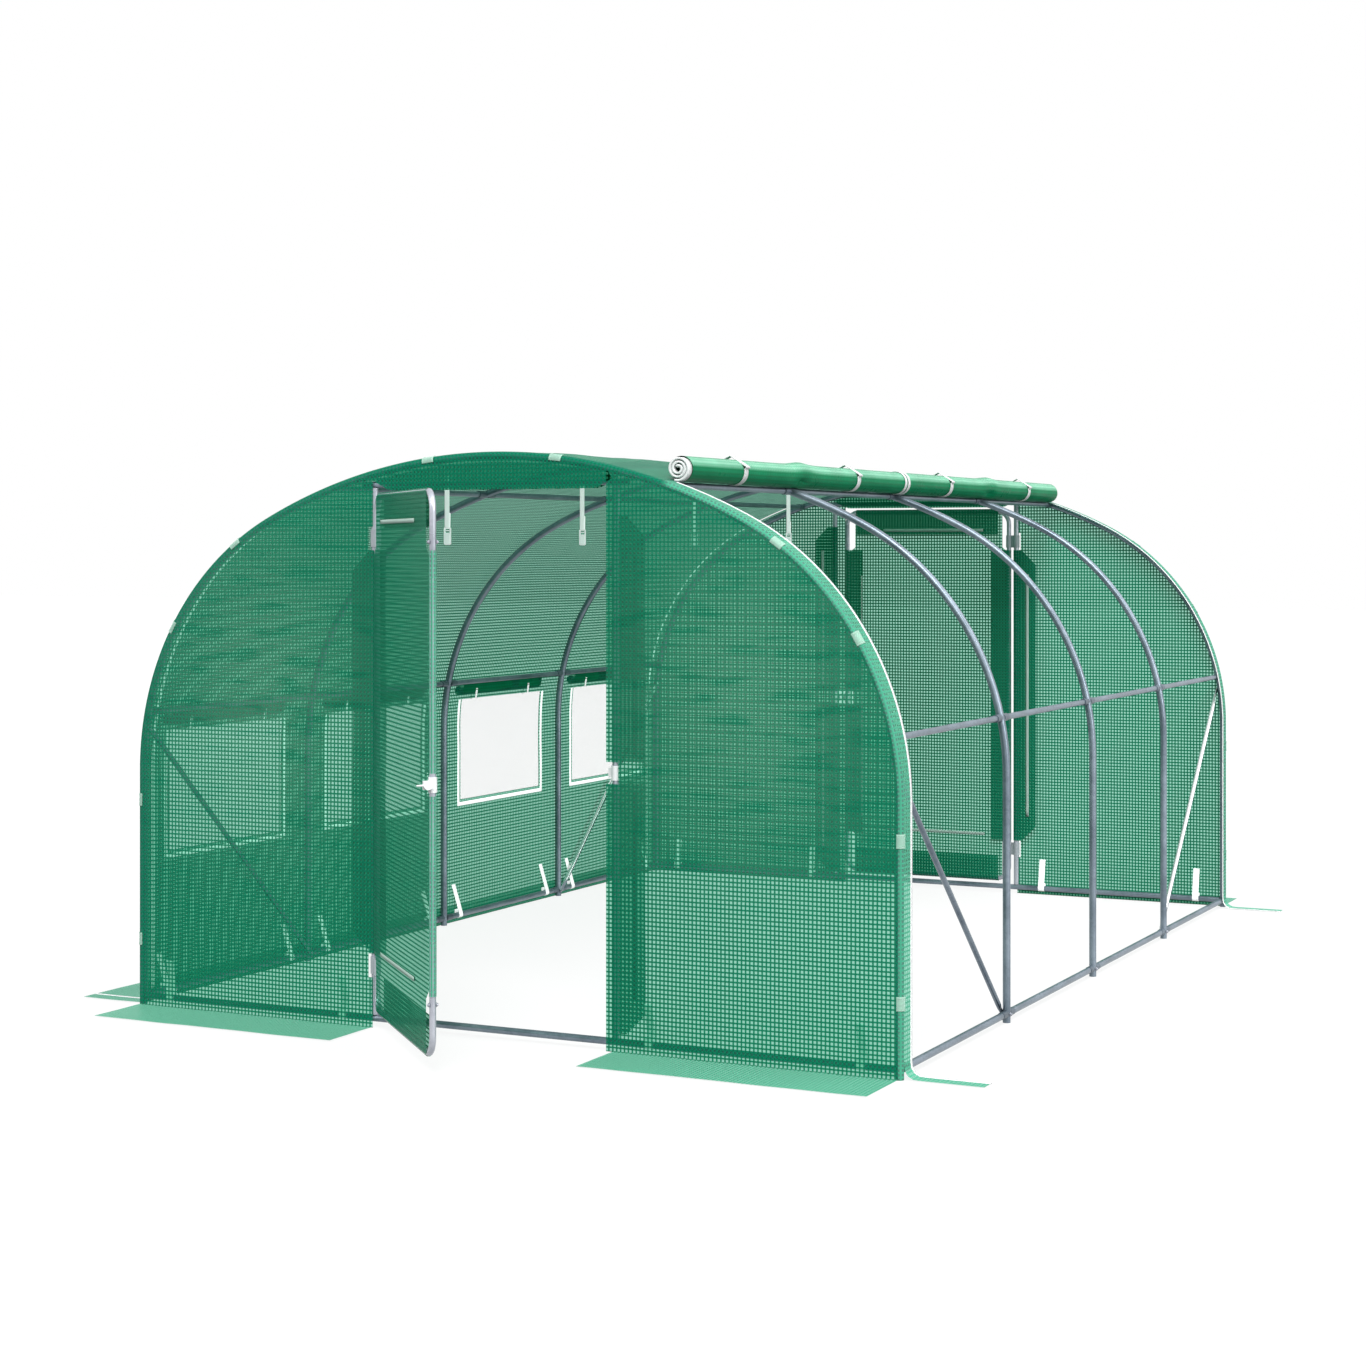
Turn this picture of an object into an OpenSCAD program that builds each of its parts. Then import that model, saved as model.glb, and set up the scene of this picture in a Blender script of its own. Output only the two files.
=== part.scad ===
// Polytunnel greenhouse: galvanised tube hoops under a reinforced film cover, with a framed door at each end.
// The long side on the right is unzipped and rolled up on to the roof.

/* [Tunnel] */
// Distance from one hoop to the next
hoop_spacing = 1066; // [850:1:1300]
// Number of bays between hoops
bay_count = 4; // [2:1:6]
// Middle of the tunnel to the axis of a leg
half_span = 1510; // [1250:1:1850]
// Height at which the legs begin to bend
springing_h = 880; // [800:1:1100]
// Rise of the hoop axis from the springing to the crown
arch_rise = 1145; // [1080:1:1450]
// Radius of the shoulder bends, less than the rise
shoulder_r = 1030; // [850:1:1100]

/* [Tubes] */
// Diameter of the hoops
hoop_d = 28; // [24:1:34]
// Diameter of the base rails
rail_d = 25; // [20:1:26]
// Diameter of the purlins and door headers
purlin_d = 22; // [16:1:24]
// Diameter of the diagonal braces
brace_d = 20; // [14:1:26]
// Diameter of the door posts
post_d = 25; // [20:1:26]
// Height of the base rail axis
rail_axis_h = 32; // [20:1:60]
// Height of the shoulder purlin axis above the springing
shoulder_purlin_rise = 214; // [160:1:300]
// Roof purlin axis to the middle of the tunnel
roof_purlin_x = 660; // [450:1:780]
// Length of the collar at each end of a rail or purlin
collar_len = 46; // [25:1:80]
// Thickness of a brace where its ends are pressed flat
brace_tab_t = 4; // [3:0.5:6]
// Bolt to the tip of a brace
brace_tip = 14; // [12:1:20]
// Length over which a brace is pressed from round to flat
brace_press_l = 42; // [30:1:80]
// Diameter of the bolt holes in the braces
brace_bolt_d = 6.5; // [5:0.5:8]
// Height of a brace where it meets the end hoop
brace_top_h = 1030; // [850:1:1070]
// Height of a brace where it meets the foot of the next hoop
brace_foot_h = 30; // [24:1:160]

/* [Cover] */
// Thickness of the cover sheet
sheet_t = 2; // [1.6:0.1:4]
// Width of the ground skirts
skirt_w = 270; // [150:1:400]
// Width of the cover left beside an end hoop on the open side
band_w = 70; // [40:1:75]
// Radius of the bend where such a band turns out on to the ground
band_bend_r = 40; // [20:1:80]
// Width of a side window
window_w = 725; // [400:1:780]
// Height of the bottom edge of the windows
window_bottom_h = 554; // [450:1:650]
// Height of the windows
window_h = 459; // [300:1:480]
// Diameter of a rolled window flap
flap_roll_d = 46; // [30:1:60]
// Height of the rolled window flaps above the springing
flap_roll_rise = 172; // [160:1:200]
// Diameter of the rolled-up side
side_roll_d = 90; // [60:1:130]
// Gap between the rolled-up side and each end hoop
side_roll_inset = 78; // [76:1:140]

/* [Straps and clips] */
// Width of the straps and ties
strap_w = 20; // [12:1:30]
// Thickness of the straps that hold the roll
strap_t = 1.6; // [1:0.1:2]
// Length of the hanging straps
hanging_strap_l = 190; // [100:1:300]
// Hanging straps to the middle of the tunnel
hanging_strap_x = 510; // [300:1:600]
// Width of a strap buckle
buckle_w = 29; // [22:1:40]
// Length of a strap buckle
buckle_l = 67; // [40:1:90]
// Thickness of a strap buckle
buckle_t = 8; // [5:1:12]
// Bars round the slots of a strap buckle
buckle_bar = 4; // [3:0.5:6]
// Height of the strap slot in a buckle
buckle_slot_h = 7; // [4:0.5:10]
// Height of the base ties above the rail axis
tie_h = 140; // [80:1:180]
// Base ties to the nearest hoop or door post
tie_inset = 130; // [90:1:200]
// Thickness of the base ties
tie_t = 1.2; // [0.8:0.1:1.2]
// Length of a snap clip along the hoop
clip_l = 46; // [30:1:60]
// Wall of a snap clip
clip_t = 1.8; // [1.2:0.1:3]

/* [Doors] */
// Middle of the tunnel to the axis of a door post
post_x = 484; // [400:1:520]
// Hoop axis above a door post down to the axis of the door header
header_drop = 38; // [34:1:90]
// Diameter of the door frame tube
door_tube_d = 22; // [16:1:24]
// Hinge axis to the near stile of the door
hinge_pitch = 38; // [36:1:50]
// Latch post axis to the free stile of the door
latch_gap = 68; // [60:1:90]
// Radius of the door frame's corner bends
door_corner_r = 64; // [40:1:110]
// Bottom of the door above the base rail
door_foot_gap = 15; // [8:1:40]
// Top of the door below the header
door_head_gap = 19; // [8:1:40]
// Angle that the front door stands open
front_door_open = 45; // [0:1:90]
// Height of each hinge clip
hinge_clip_h = 60; // [30:1:90]
// Wall of the hinge clips and latch clamps
clip_wall = 3; // [2:0.5:4]
// Middle of a hinge clip to the end of the door
hinge_clip_inset = 150; // [110:1:200]
// Height of the latch
latch_h = 943; // [700:1:1100]
// Height of the latch clamp
latch_clamp_h = 50; // [36:1:70]
// Length of the latch lever from its pivot
latch_lever_l = 38; // [25:1:60]
// Diameter of the latch hub
latch_hub_d = 28; // [20:1:36]
// Width of the flap sewn inside each door post sleeve
post_flap_w = 104; // [60:1:140]
// Cut across the outer corners of the door post flaps
post_flap_corner = 72; // [20:1:90]
// Width of the flaps sewn inside the door cover
door_flap_w = 90; // [50:1:130]
// Bare tube between a sleeve and what turns on the tube
sleeve_gap = 12; // [6:1:30]

/* [Hidden] */
// Clearance between pieces that touch
fit_gap = 0.3;
// Distance that a cut runs past the face it opens
overrun = 1;
// Step to which the height of the door header is rounded
height_step = 1;
// Diameter of the latch pivot pin
latch_pin_d = 8;
// Thickness of the latch hub
latch_hub_t = 10;
// Thickness of the latch block beside the stile
latch_block_t = 15;
// Latch pivot to the axis of the free stile
latch_pivot_out = 20;
// Radius of the lever at the hub and at its tip
lever_root_r = 4.5;
lever_tip_r = 2.5;
// Reach of the strike box from the post axis
strike_reach = 26;
// Height and depth of the slot in the strike
strike_slot_h = 26;
strike_slot_d = 7;
// Snap clips on an end hoop: shares of a leg's height, shares of a shoulder bend and distance from the crown
clip_leg_shares = [0.278, 0.869];
clip_shoulder_shares = [0.49, 0.86];
clip_crown_x = 255;
// Steps along each bend in the outline of an end wall
outline_steps = 18;
// Steps in a full turn of small and of large bends
$fn = 64;
bend_fn = 360;

tunnel_l = hoop_spacing * bay_count;
hoop_ys = [for (i = [0 : bay_count]) i * hoop_spacing - tunnel_l / 2];
bay_ys = [for (i = [0 : bay_count - 1]) (i + 0.5) * hoop_spacing - tunnel_l / 2];
hoop_r = hoop_d / 2;

// Three-centred arch: shoulder bends tangent to the legs, crown bend tangent to both shoulders
shoulder_cx = half_span - shoulder_r;
crown_slack = arch_rise - shoulder_r;
crown_cz = springing_h + (pow(crown_slack, 2) - pow(shoulder_cx, 2)) / (2 * crown_slack);
crown_r = springing_h + arch_rise - crown_cz;
crown_angle = atan2(springing_h - crown_cz, shoulder_cx);

// Layers of cover outside a hoop
sheet_in = hoop_r + fit_gap;
sheet_out = sheet_in + sheet_t;
skirt_edge = half_span + sheet_out;

// Purlins on the arch
shoulder_purlin_angle = asin(shoulder_purlin_rise / shoulder_r);
shoulder_purlin_x = shoulder_cx + shoulder_r * cos(shoulder_purlin_angle);
shoulder_purlin_z = springing_h + shoulder_purlin_rise;
roof_purlin_angle = acos(roof_purlin_x / crown_r);
roof_purlin_z = crown_cz + crown_r * sin(roof_purlin_angle);

// Rolled-up side, seated on the hoops above the right roof purlin
roll_r = side_roll_d / 2;
roll_seat = crown_r + sheet_in + roll_r;
strap_r = roll_r + fit_gap + strap_t;
roll_half_chord = sqrt(pow(strap_r, 2) - pow(roll_r - sheet_t, 2)) + fit_gap;
roof_end_angle = roof_purlin_angle + atan2(roll_half_chord, crown_r + sheet_out);

// Door sizes
arch_over_post = crown_cz + sqrt(pow(crown_r, 2) - pow(post_x, 2));
header_z = height_step * floor((arch_over_post - header_drop) / height_step);
header_top = header_z + purlin_d / 2;
header_half_l = sqrt(pow(crown_r - hoop_r - fit_gap, 2) - pow(header_top - crown_cz, 2));
post_bottom = rail_axis_h + rail_d / 2 + fit_gap;
post_top = header_z - purlin_d / 2 - fit_gap;
door_tube_r = door_tube_d / 2;
door_reach = 2 * post_x - latch_gap;
door_low = rail_axis_h + rail_d / 2 + door_foot_gap + door_tube_r;
door_high = header_z - purlin_d / 2 - door_head_gap - door_tube_r;
door_sheet_in = door_tube_r + fit_gap;
door_sheet_out = door_sheet_in + sheet_t;
hinge_heights = [door_low + hinge_clip_inset, door_high - hinge_clip_inset];
clamp_half = latch_clamp_h / 2 + sleeve_gap;
hinge_half = hinge_clip_h / 2 + sleeve_gap;
post_clip_r = post_d / 2 + fit_gap + clip_wall;
stile_clip_r = door_tube_r + fit_gap + clip_wall;
notch_w = post_clip_r + sleeve_gap;

// The open front door reaches furthest forward, so the tunnel is set back to centre the whole plan
lever_tip = latch_pivot_out + latch_lever_l;
lever_x = door_reach + latch_block_t + fit_gap + latch_hub_t / 2;
front_reach = (lever_x + lever_tip_r) * sin(front_door_open) + lever_tip * cos(front_door_open);
setback = (front_reach - sheet_out - skirt_w) / 2;

// Sets the tunnel back so that the plan is centred on the origin
module tunnel() {
    translate([0, setback, 0]) children();
}

module both_sides() {
    children();
    mirror([1, 0, 0]) children();
}

// Front end as drawn, and the rear end as the same end turned round
module both_ends() {
    front_end() children();
    rear_end() children();
}

module front_end() {
    translate([0, -tunnel_l / 2, 0]) children();
}

module rear_end() {
    rotate([0, 0, 180]) front_end() children();
}

module along_x(x0, x1) {
    translate([x0, 0, 0]) rotate([0, 90, 0]) linear_extrude(x1 - x0) children();
}

module tube_y(d, y0, y1) {
    translate([0, y0, 0]) rotate([-90, 0, 0]) cylinder(d = d, h = y1 - y0);
}

module ring(d, wall_d, h) {
    difference() {
        cylinder(d = d, h = h);
        translate([0, 0, -overrun]) cylinder(d = wall_d, h = h + 2 * overrun);
    }
}

// Sweeps a profile round an arc in the plane of a hoop, from one angle to another
module sweep(from, to) {
    rotate([90, 0, 0]) rotate([0, 0, from]) rotate_extrude(angle = to - from, $fn = bend_fn) children();
}

// Angle of the narrow seam left between two lengths that meet end to end on a bend
function seam(r) = atan2(fit_gap, r);

module at_shoulder() {
    translate([shoulder_cx, 0, springing_h]) children();
}

module at_crown() {
    translate([0, 0, crown_cz]) children();
}

// One tube in each bay at a place in the section of the tunnel
module bay_tubes(x, z, d) {
    for (y = bay_ys)
        translate([x, y, z])
            tube_y(d, hoop_r + fit_gap - hoop_spacing / 2, hoop_spacing / 2 - hoop_r - fit_gap);
}

module hoop_legs() {
    color("slategray") tunnel() both_sides()
        for (y = hoop_ys) translate([half_span, y, 0]) cylinder(d = hoop_d, h = springing_h);
}

module hoop_shoulders() {
    color("slategray") tunnel() both_sides()
        for (y = hoop_ys)
            translate([0, y, 0]) at_shoulder()
                sweep(0, crown_angle - seam(shoulder_r)) translate([shoulder_r, 0]) circle(d = hoop_d);
}

module hoop_crowns() {
    color("slategray") tunnel()
        for (y = hoop_ys)
            translate([0, y, 0]) at_crown()
                sweep(crown_angle, 180 - crown_angle) translate([crown_r, 0]) circle(d = hoop_d);
}

module side_base_rails() {
    color("slategray") tunnel() both_sides() bay_tubes(half_span, rail_axis_h, rail_d);
}

module end_base_rails() {
    reach = half_span - hoop_r - fit_gap;
    color("slategray") tunnel() both_ends()
        translate([0, 0, rail_axis_h]) along_x(-reach, reach) circle(d = rail_d);
}

module shoulder_purlins() {
    color("slategray") tunnel() both_sides() bay_tubes(shoulder_purlin_x, shoulder_purlin_z, purlin_d);
}

module roof_purlins() {
    color("slategray") tunnel() both_sides() bay_tubes(roof_purlin_x, roof_purlin_z, purlin_d);
}

// Collars as wide as the hoops, at both ends of every rail and purlin in a bay
module bay_collars(x, z, tube_d) {
    start = hoop_spacing / 2 - hoop_r - fit_gap;
    for (y = bay_ys)
        for (turn = [0, 180])
            translate([x, y, z]) rotate([0, 0, turn])
                translate([0, -start, 0]) rotate([-90, 0, 0])
                    ring(hoop_d, tube_d + 2 * fit_gap, collar_len);
}

module tube_collars() {
    color("dimgray") tunnel() both_sides() {
        bay_collars(half_span, rail_axis_h, rail_d);
        bay_collars(shoulder_purlin_x, shoulder_purlin_z, purlin_d);
        bay_collars(roof_purlin_x, roof_purlin_z, purlin_d);
    }
}

// Tube pressed flat at both ends, drawn up from bolt hole to bolt hole with its flats towards X
module pressed_tube(l) {
    r = brace_d / 2;
    tab_r = brace_tab_t / 2;
    flat_l = hoop_d;
    half_side = [
        [tab_r, -brace_tip - overrun], [tab_r, flat_l], [r, flat_l + brace_press_l],
        [r, l - flat_l - brace_press_l], [tab_r, l - flat_l], [tab_r, l + brace_tip + overrun]
    ];
    other_side = [for (i = [len(half_side) - 1 : -1 : 0]) [-half_side[i].x, half_side[i].y]];
    difference() {
        intersection() {
            translate([0, 0, -brace_tip]) cylinder(r = r, h = l + 2 * brace_tip);
            translate([0, brace_d, 0]) rotate([90, 0, 0])
                linear_extrude(2 * brace_d) polygon(concat(half_side, other_side));
            translate([-brace_d, 0, 0]) rotate([90, 0, 90])
                linear_extrude(2 * brace_d) {
                    translate([-brace_tip, 0]) square([2 * brace_tip, l]);
                    circle(r = brace_tip);
                    translate([0, l]) circle(r = brace_tip);
                }
        }
        for (z = [0, l])
            translate([-brace_d, 0, z]) rotate([0, 90, 0]) cylinder(d = brace_bolt_d, h = 2 * brace_d);
    }
}

// Braces are bolted to the inner side of the legs in the two end bays
module braces() {
    inset = hoop_r + fit_gap + brace_tab_t / 2;
    rise = max(0, brace_top_h - springing_h);
    lean = asin(rise / shoulder_r);
    top_x = shoulder_cx + shoulder_r * cos(lean) - inset / cos(lean) - brace_tip * tan(lean);
    run = [top_x - half_span + inset, -hoop_spacing, brace_top_h - brace_foot_h];
    color("slategray") tunnel() both_sides() both_ends()
        translate([half_span - inset, hoop_spacing, brace_foot_h])
            rotate([atan2(-run.y, run.z), 0, 0]) rotate([0, asin(run.x / norm(run)), 0])
                pressed_tube(norm(run));
}

module door_posts() {
    color("slategray") tunnel() both_ends() both_sides()
        translate([post_x, 0, post_bottom]) cylinder(d = post_d, h = post_top - post_bottom);
}

module header_rails() {
    color("slategray") tunnel() both_ends()
        translate([0, 0, header_z]) along_x(-header_half_l, header_half_l) circle(d = purlin_d);
}

// Clamp on the latch post with a slotted box that faces the door
module latch_strikes() {
    box_h = strike_slot_h + 2 * clip_wall;
    box_w = strike_slot_d + 2 * clip_wall;
    color("whitesmoke") tunnel() both_ends()
        translate([post_x, 0, latch_h])
            difference() {
                union() {
                    translate([0, 0, -latch_clamp_h / 2]) cylinder(r = post_clip_r, h = latch_clamp_h);
                    translate([-strike_reach, -box_w / 2, -box_h / 2]) cube([strike_reach, box_w, box_h]);
                }
                translate([0, 0, -latch_clamp_h / 2 - overrun])
                    cylinder(d = post_d + 2 * fit_gap, h = latch_clamp_h + 2 * overrun);
                translate([-strike_reach - overrun, -strike_slot_d / 2, -strike_slot_h / 2])
                    cube([strike_reach - post_clip_r + overrun, strike_slot_d, strike_slot_h]);
            }
}

// Places a door drawn with its hinge axis at the origin and its outside towards -Y
module front_door() {
    tunnel() front_end() translate([-post_x, 0, 0]) rotate([0, 0, -front_door_open]) children();
}

module rear_door() {
    tunnel() rear_end() translate([-post_x, 0, 0]) children();
}

// Bent tube loop with round corners
module door_frame() {
    w = door_reach - hinge_pitch;
    h = door_high - door_low;
    translate([(hinge_pitch + door_reach) / 2, 0, (door_low + door_high) / 2]) {
        for (side = [-1, 1]) {
            translate([side * w / 2, 0, door_corner_r - h / 2])
                cylinder(d = door_tube_d, h = h - 2 * door_corner_r);
            translate([0, 0, side * h / 2])
                along_x(door_corner_r - w / 2, w / 2 - door_corner_r) circle(d = door_tube_d);
        }
        for (sx = [0, 1])
            for (sz = [0, 1])
                mirror([sx, 0, 0]) mirror([0, 0, sz])
                    translate([w / 2 - door_corner_r, 0, h / 2 - door_corner_r])
                        sweep(0, 90) translate([door_corner_r, 0]) circle(d = door_tube_d);
    }
}

// Plan of a sleeve half round a tube on its +X side
module sleeve_plan(inner_r, outer_r) {
    intersection() {
        difference() {
            circle(r = outer_r);
            circle(r = inner_r);
        }
        translate([0, -outer_r]) square([outer_r, 2 * outer_r]);
    }
}

// Sleeve with a flap that runs back inside the door
module door_sleeve(z0, z1) {
    translate([0, 0, z0]) linear_extrude(z1 - z0) {
        sleeve_plan(door_sheet_in, door_sheet_out);
        translate([-door_flap_w, door_sheet_in]) square([door_flap_w, sheet_t]);
    }
}

// Sheet across the outside of the frame, with sleeves round the stiles and rails between the corner bends
module door_cover() {
    w = door_reach - hinge_pitch;
    h = door_high - door_low;
    side_low = hinge_heights[0] + hinge_half;
    side_high = hinge_heights[1] - hinge_half;
    rail_half = w / 2 - door_corner_r - sleeve_gap;
    hinge_cut = hinge_pitch + stile_clip_r + fit_gap;
    outline = [
        [hinge_pitch, side_low], [hinge_cut, side_low], [hinge_pitch + door_corner_r, door_low],
        [door_reach - door_corner_r, door_low], [door_reach, side_low],
        [door_reach, latch_h - clamp_half], [door_reach - notch_w, latch_h - clamp_half],
        [door_reach - notch_w, latch_h + clamp_half], [door_reach, latch_h + clamp_half],
        [door_reach, side_high], [door_reach - door_corner_r, door_high],
        [hinge_pitch + door_corner_r, door_high], [hinge_cut, side_high], [hinge_pitch, side_high]
    ];
    translate([0, -door_sheet_in, 0]) rotate([90, 0, 0]) linear_extrude(sheet_t) polygon(outline);
    translate([hinge_pitch, 0, 0]) mirror([1, 0, 0]) door_sleeve(side_low, side_high);
    translate([door_reach, 0, 0]) door_sleeve(side_low, latch_h - clamp_half);
    translate([door_reach, 0, 0]) door_sleeve(latch_h + clamp_half, side_high);
    translate([(hinge_pitch + door_reach) / 2, 0, door_high])
        rotate([0, -90, 0]) translate([0, 0, -rail_half]) door_sleeve(0, 2 * rail_half);
    translate([(hinge_pitch + door_reach) / 2, 0, door_low])
        rotate([0, 90, 0]) translate([0, 0, -rail_half]) door_sleeve(0, 2 * rail_half);
}

// Figure-of-eight clips: one eye turns on the post, the other grips the door stile
module door_hinges() {
    for (z = hinge_heights)
        translate([0, 0, z - hinge_clip_h / 2])
            difference() {
                union() {
                    cylinder(r = post_clip_r, h = hinge_clip_h);
                    translate([hinge_pitch, 0, 0]) cylinder(r = stile_clip_r, h = hinge_clip_h);
                    translate([0, -door_tube_r / 2, 0]) cube([hinge_pitch, door_tube_r, hinge_clip_h]);
                }
                translate([0, 0, -overrun])
                    cylinder(d = post_d + 2 * fit_gap, h = hinge_clip_h + 2 * overrun);
                translate([hinge_pitch, 0, -overrun])
                    cylinder(d = door_tube_d + 2 * fit_gap, h = hinge_clip_h + 2 * overrun);
            }
}

// Clamp on the free stile with a block and a pivot pin for the lever
module latch_clamp() {
    pin_l = latch_hub_t + fit_gap;
    block_w = latch_pivot_out + latch_hub_d / 2;
    translate([door_reach, 0, latch_h]) {
        difference() {
            union() {
                translate([0, 0, -latch_clamp_h / 2]) cylinder(r = stile_clip_r, h = latch_clamp_h);
                translate([0, -block_w, -latch_hub_d / 2]) cube([latch_block_t, block_w, latch_hub_d]);
            }
            translate([0, 0, -latch_clamp_h / 2 - overrun])
                cylinder(d = door_tube_d + 2 * fit_gap, h = latch_clamp_h + 2 * overrun);
        }
        translate([latch_block_t, -latch_pivot_out, 0]) rotate([0, 90, 0])
            cylinder(d = latch_pin_d, h = pin_l);
    }
}

// Lever with a round hub on the pivot pin
module latch_handle() {
    translate([door_reach + latch_block_t + fit_gap, -latch_pivot_out, latch_h])
        difference() {
            union() {
                rotate([0, 90, 0]) cylinder(d = latch_hub_d, h = latch_hub_t);
                translate([latch_hub_t / 2, 0, 0]) rotate([90, 0, 0])
                    cylinder(r1 = lever_root_r, r2 = lever_tip_r, h = latch_lever_l);
            }
            translate([-overrun, 0, 0]) rotate([0, 90, 0])
                cylinder(d = latch_pin_d + 2 * fit_gap, h = latch_hub_t + 2 * overrun);
        }
}

module front_door_frame() {
    color("lightsteelblue") front_door() door_frame();
}

module front_door_cover() {
    color("seagreen") front_door() door_cover();
}

module front_door_hinges() {
    color("silver") front_door() door_hinges();
}

module front_latch_clamp() {
    color("whitesmoke") front_door() latch_clamp();
}

module front_latch_handle() {
    color("whitesmoke") front_door() latch_handle();
}

module rear_door_frame() {
    color("lightsteelblue") rear_door() door_frame();
}

module rear_door_cover() {
    color("seagreen") rear_door() door_cover();
}

module rear_door_hinges() {
    color("silver") rear_door() door_hinges();
}

module rear_latch_clamp() {
    color("whitesmoke") rear_door() latch_clamp();
}

module rear_latch_handle() {
    color("whitesmoke") rear_door() latch_handle();
}

// Section of the cover at a bend: a strip of sheet outside the hoops
module sheet_strip(bend_r, y0, y1) {
    translate([bend_r + sheet_in, -y1]) square([sheet_t, y1 - y0]);
}

module roof_cover() {
    color("mediumseagreen") tunnel() at_crown()
        sweep(roof_end_angle, 180 - crown_angle) sheet_strip(crown_r, -tunnel_l / 2, tunnel_l / 2);
}

module left_roof_cover() {
    color("mediumseagreen") tunnel() mirror([1, 0, 0]) at_shoulder()
        sweep(shoulder_purlin_angle + seam(shoulder_r), crown_angle - seam(shoulder_r))
            sheet_strip(shoulder_r, -tunnel_l / 2, tunnel_l / 2);
}

// Left wall up to the shoulder purlin, without its windows
module left_wall_sheet() {
    translate([-skirt_edge, -tunnel_l / 2, 0]) cube([sheet_t, tunnel_l, springing_h]);
    mirror([1, 0, 0]) at_shoulder()
        sweep(0, shoulder_purlin_angle) sheet_strip(shoulder_r, -tunnel_l / 2, tunnel_l / 2);
}

// One block per bay through the left wall, drawn in by a margin all round
module window_blocks(margin) {
    depth = shoulder_r - shoulder_r * cos(shoulder_purlin_angle) + sheet_out + overrun;
    for (y = bay_ys)
        translate([-skirt_edge - overrun, y - window_w / 2 + margin, window_bottom_h + margin])
            cube([depth, window_w - 2 * margin, window_h - 2 * margin]);
}

module left_wall_cover() {
    color("seagreen") tunnel()
        difference() {
            left_wall_sheet();
            window_blocks(0);
        }
}

module window_nets() {
    color("white") tunnel()
        intersection() {
            left_wall_sheet();
            window_blocks(fit_gap);
        }
}

module window_flap_rolls() {
    seat = shoulder_r + sheet_out + fit_gap + flap_roll_d / 2;
    x = -shoulder_cx - sqrt(pow(seat, 2) - pow(flap_roll_rise, 2));
    color("seagreen") tunnel()
        for (y = bay_ys)
            translate([x, y, springing_h + flap_roll_rise]) tube_y(flap_roll_d, -window_w / 2, window_w / 2);
}

// Quarter of a sleeve, where the cover turns from the roof down over an end hoop
module wrap_quarter(inner_r, outer_r) {
    intersection() {
        difference() {
            circle(r = outer_r);
            circle(r = inner_r);
        }
        square([outer_r, outer_r]);
    }
}

module edge_wrap() {
    both_sides() {
        translate([half_span, 0, 0])
            linear_extrude(springing_h - fit_gap) mirror([0, 1]) wrap_quarter(sheet_in, sheet_out);
        at_shoulder() sweep(0, crown_angle - seam(shoulder_r))
            translate([shoulder_r, 0]) wrap_quarter(sheet_in, sheet_out);
    }
    at_crown() sweep(crown_angle, 180 - crown_angle)
        translate([crown_r, 0]) wrap_quarter(sheet_in, sheet_out);
}

module front_edge_wrap() {
    color("mediumseagreen") tunnel() front_end() edge_wrap();
}

module rear_edge_wrap() {
    color("mediumseagreen") tunnel() rear_end() edge_wrap();
}

// Section of an edge band below the springing: down the leg, round a bend and out along the ground
module band_foot_section() {
    translate([0, band_bend_r]) square([sheet_t, springing_h - fit_gap - band_bend_r]);
    translate([band_bend_r, band_bend_r]) rotate(180)
        wrap_quarter(band_bend_r - sheet_t, band_bend_r);
    translate([band_bend_r, 0]) square([sheet_t + skirt_w - band_bend_r, sheet_t]);
}

// Strip of cover left beside an end hoop on the open side, ending in a tongue on the ground
module edge_band() {
    at_crown() sweep(crown_angle, roof_end_angle - seam(crown_r)) sheet_strip(crown_r, 0, band_w);
    at_shoulder() sweep(0, crown_angle - seam(shoulder_r)) sheet_strip(shoulder_r, 0, band_w);
    translate([half_span + sheet_in, band_w, 0]) rotate([90, 0, 0])
        linear_extrude(band_w) band_foot_section();
}

module right_edge_bands() {
    color("mediumseagreen") tunnel() {
        front_end() edge_band();
        mirror([0, 1, 0]) front_end() edge_band();
    }
}

// Outline of an end wall along the axis of its hoop, from the right foot over the crown to the left foot
function arc_points(cx, cz, r, from, to) = [
    for (i = [0 : outline_steps])
        let (a = from + (to - from) * i / outline_steps) [cx + r * cos(a), cz + r * sin(a)]
];
end_outline = concat(
    [[half_span - fit_gap, 0]],
    arc_points(shoulder_cx, springing_h, shoulder_r - fit_gap, 0, crown_angle),
    arc_points(0, crown_cz, crown_r - fit_gap, crown_angle, 180 - crown_angle),
    arc_points(-shoulder_cx, springing_h, shoulder_r - fit_gap, 180 - crown_angle, 180),
    [[fit_gap - half_span, 0]]
);

module end_sheet() {
    translate([0, -sheet_in, 0]) rotate([90, 0, 0]) linear_extrude(sheet_t)
        intersection() {
            polygon(end_outline);
            children();
        }
}

// Cut in the edge of an end panel, so that what is clamped on the post has room
module panel_notch(z, half_h) {
    translate([-post_x - notch_w, z - half_h]) square([notch_w + overrun, 2 * half_h]);
}

module hinge_side_panel() {
    end_sheet()
        difference() {
            translate([-skirt_edge, 0]) square([skirt_edge - post_x, springing_h + arch_rise]);
            for (z = hinge_heights) panel_notch(z, hinge_half);
        }
}

module latch_side_panel() {
    end_sheet()
        mirror([1, 0])
            difference() {
                translate([-skirt_edge, 0]) square([skirt_edge - post_x, springing_h + arch_rise]);
                panel_notch(latch_h, clamp_half);
            }
}

module header_panel() {
    end_sheet() translate([-post_x, post_top]) square([2 * post_x, arch_rise]);
}

module front_left_panel() {
    color("seagreen") tunnel() front_end() hinge_side_panel();
}

module front_right_panel() {
    color("seagreen") tunnel() front_end() latch_side_panel();
}

module front_header_panel() {
    color("seagreen") tunnel() front_end() header_panel();
}

module rear_right_panel() {
    color("seagreen") tunnel() rear_end() hinge_side_panel();
}

module rear_left_panel() {
    color("seagreen") tunnel() rear_end() latch_side_panel();
}

module rear_header_panel() {
    color("seagreen") tunnel() rear_end() header_panel();
}

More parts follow.
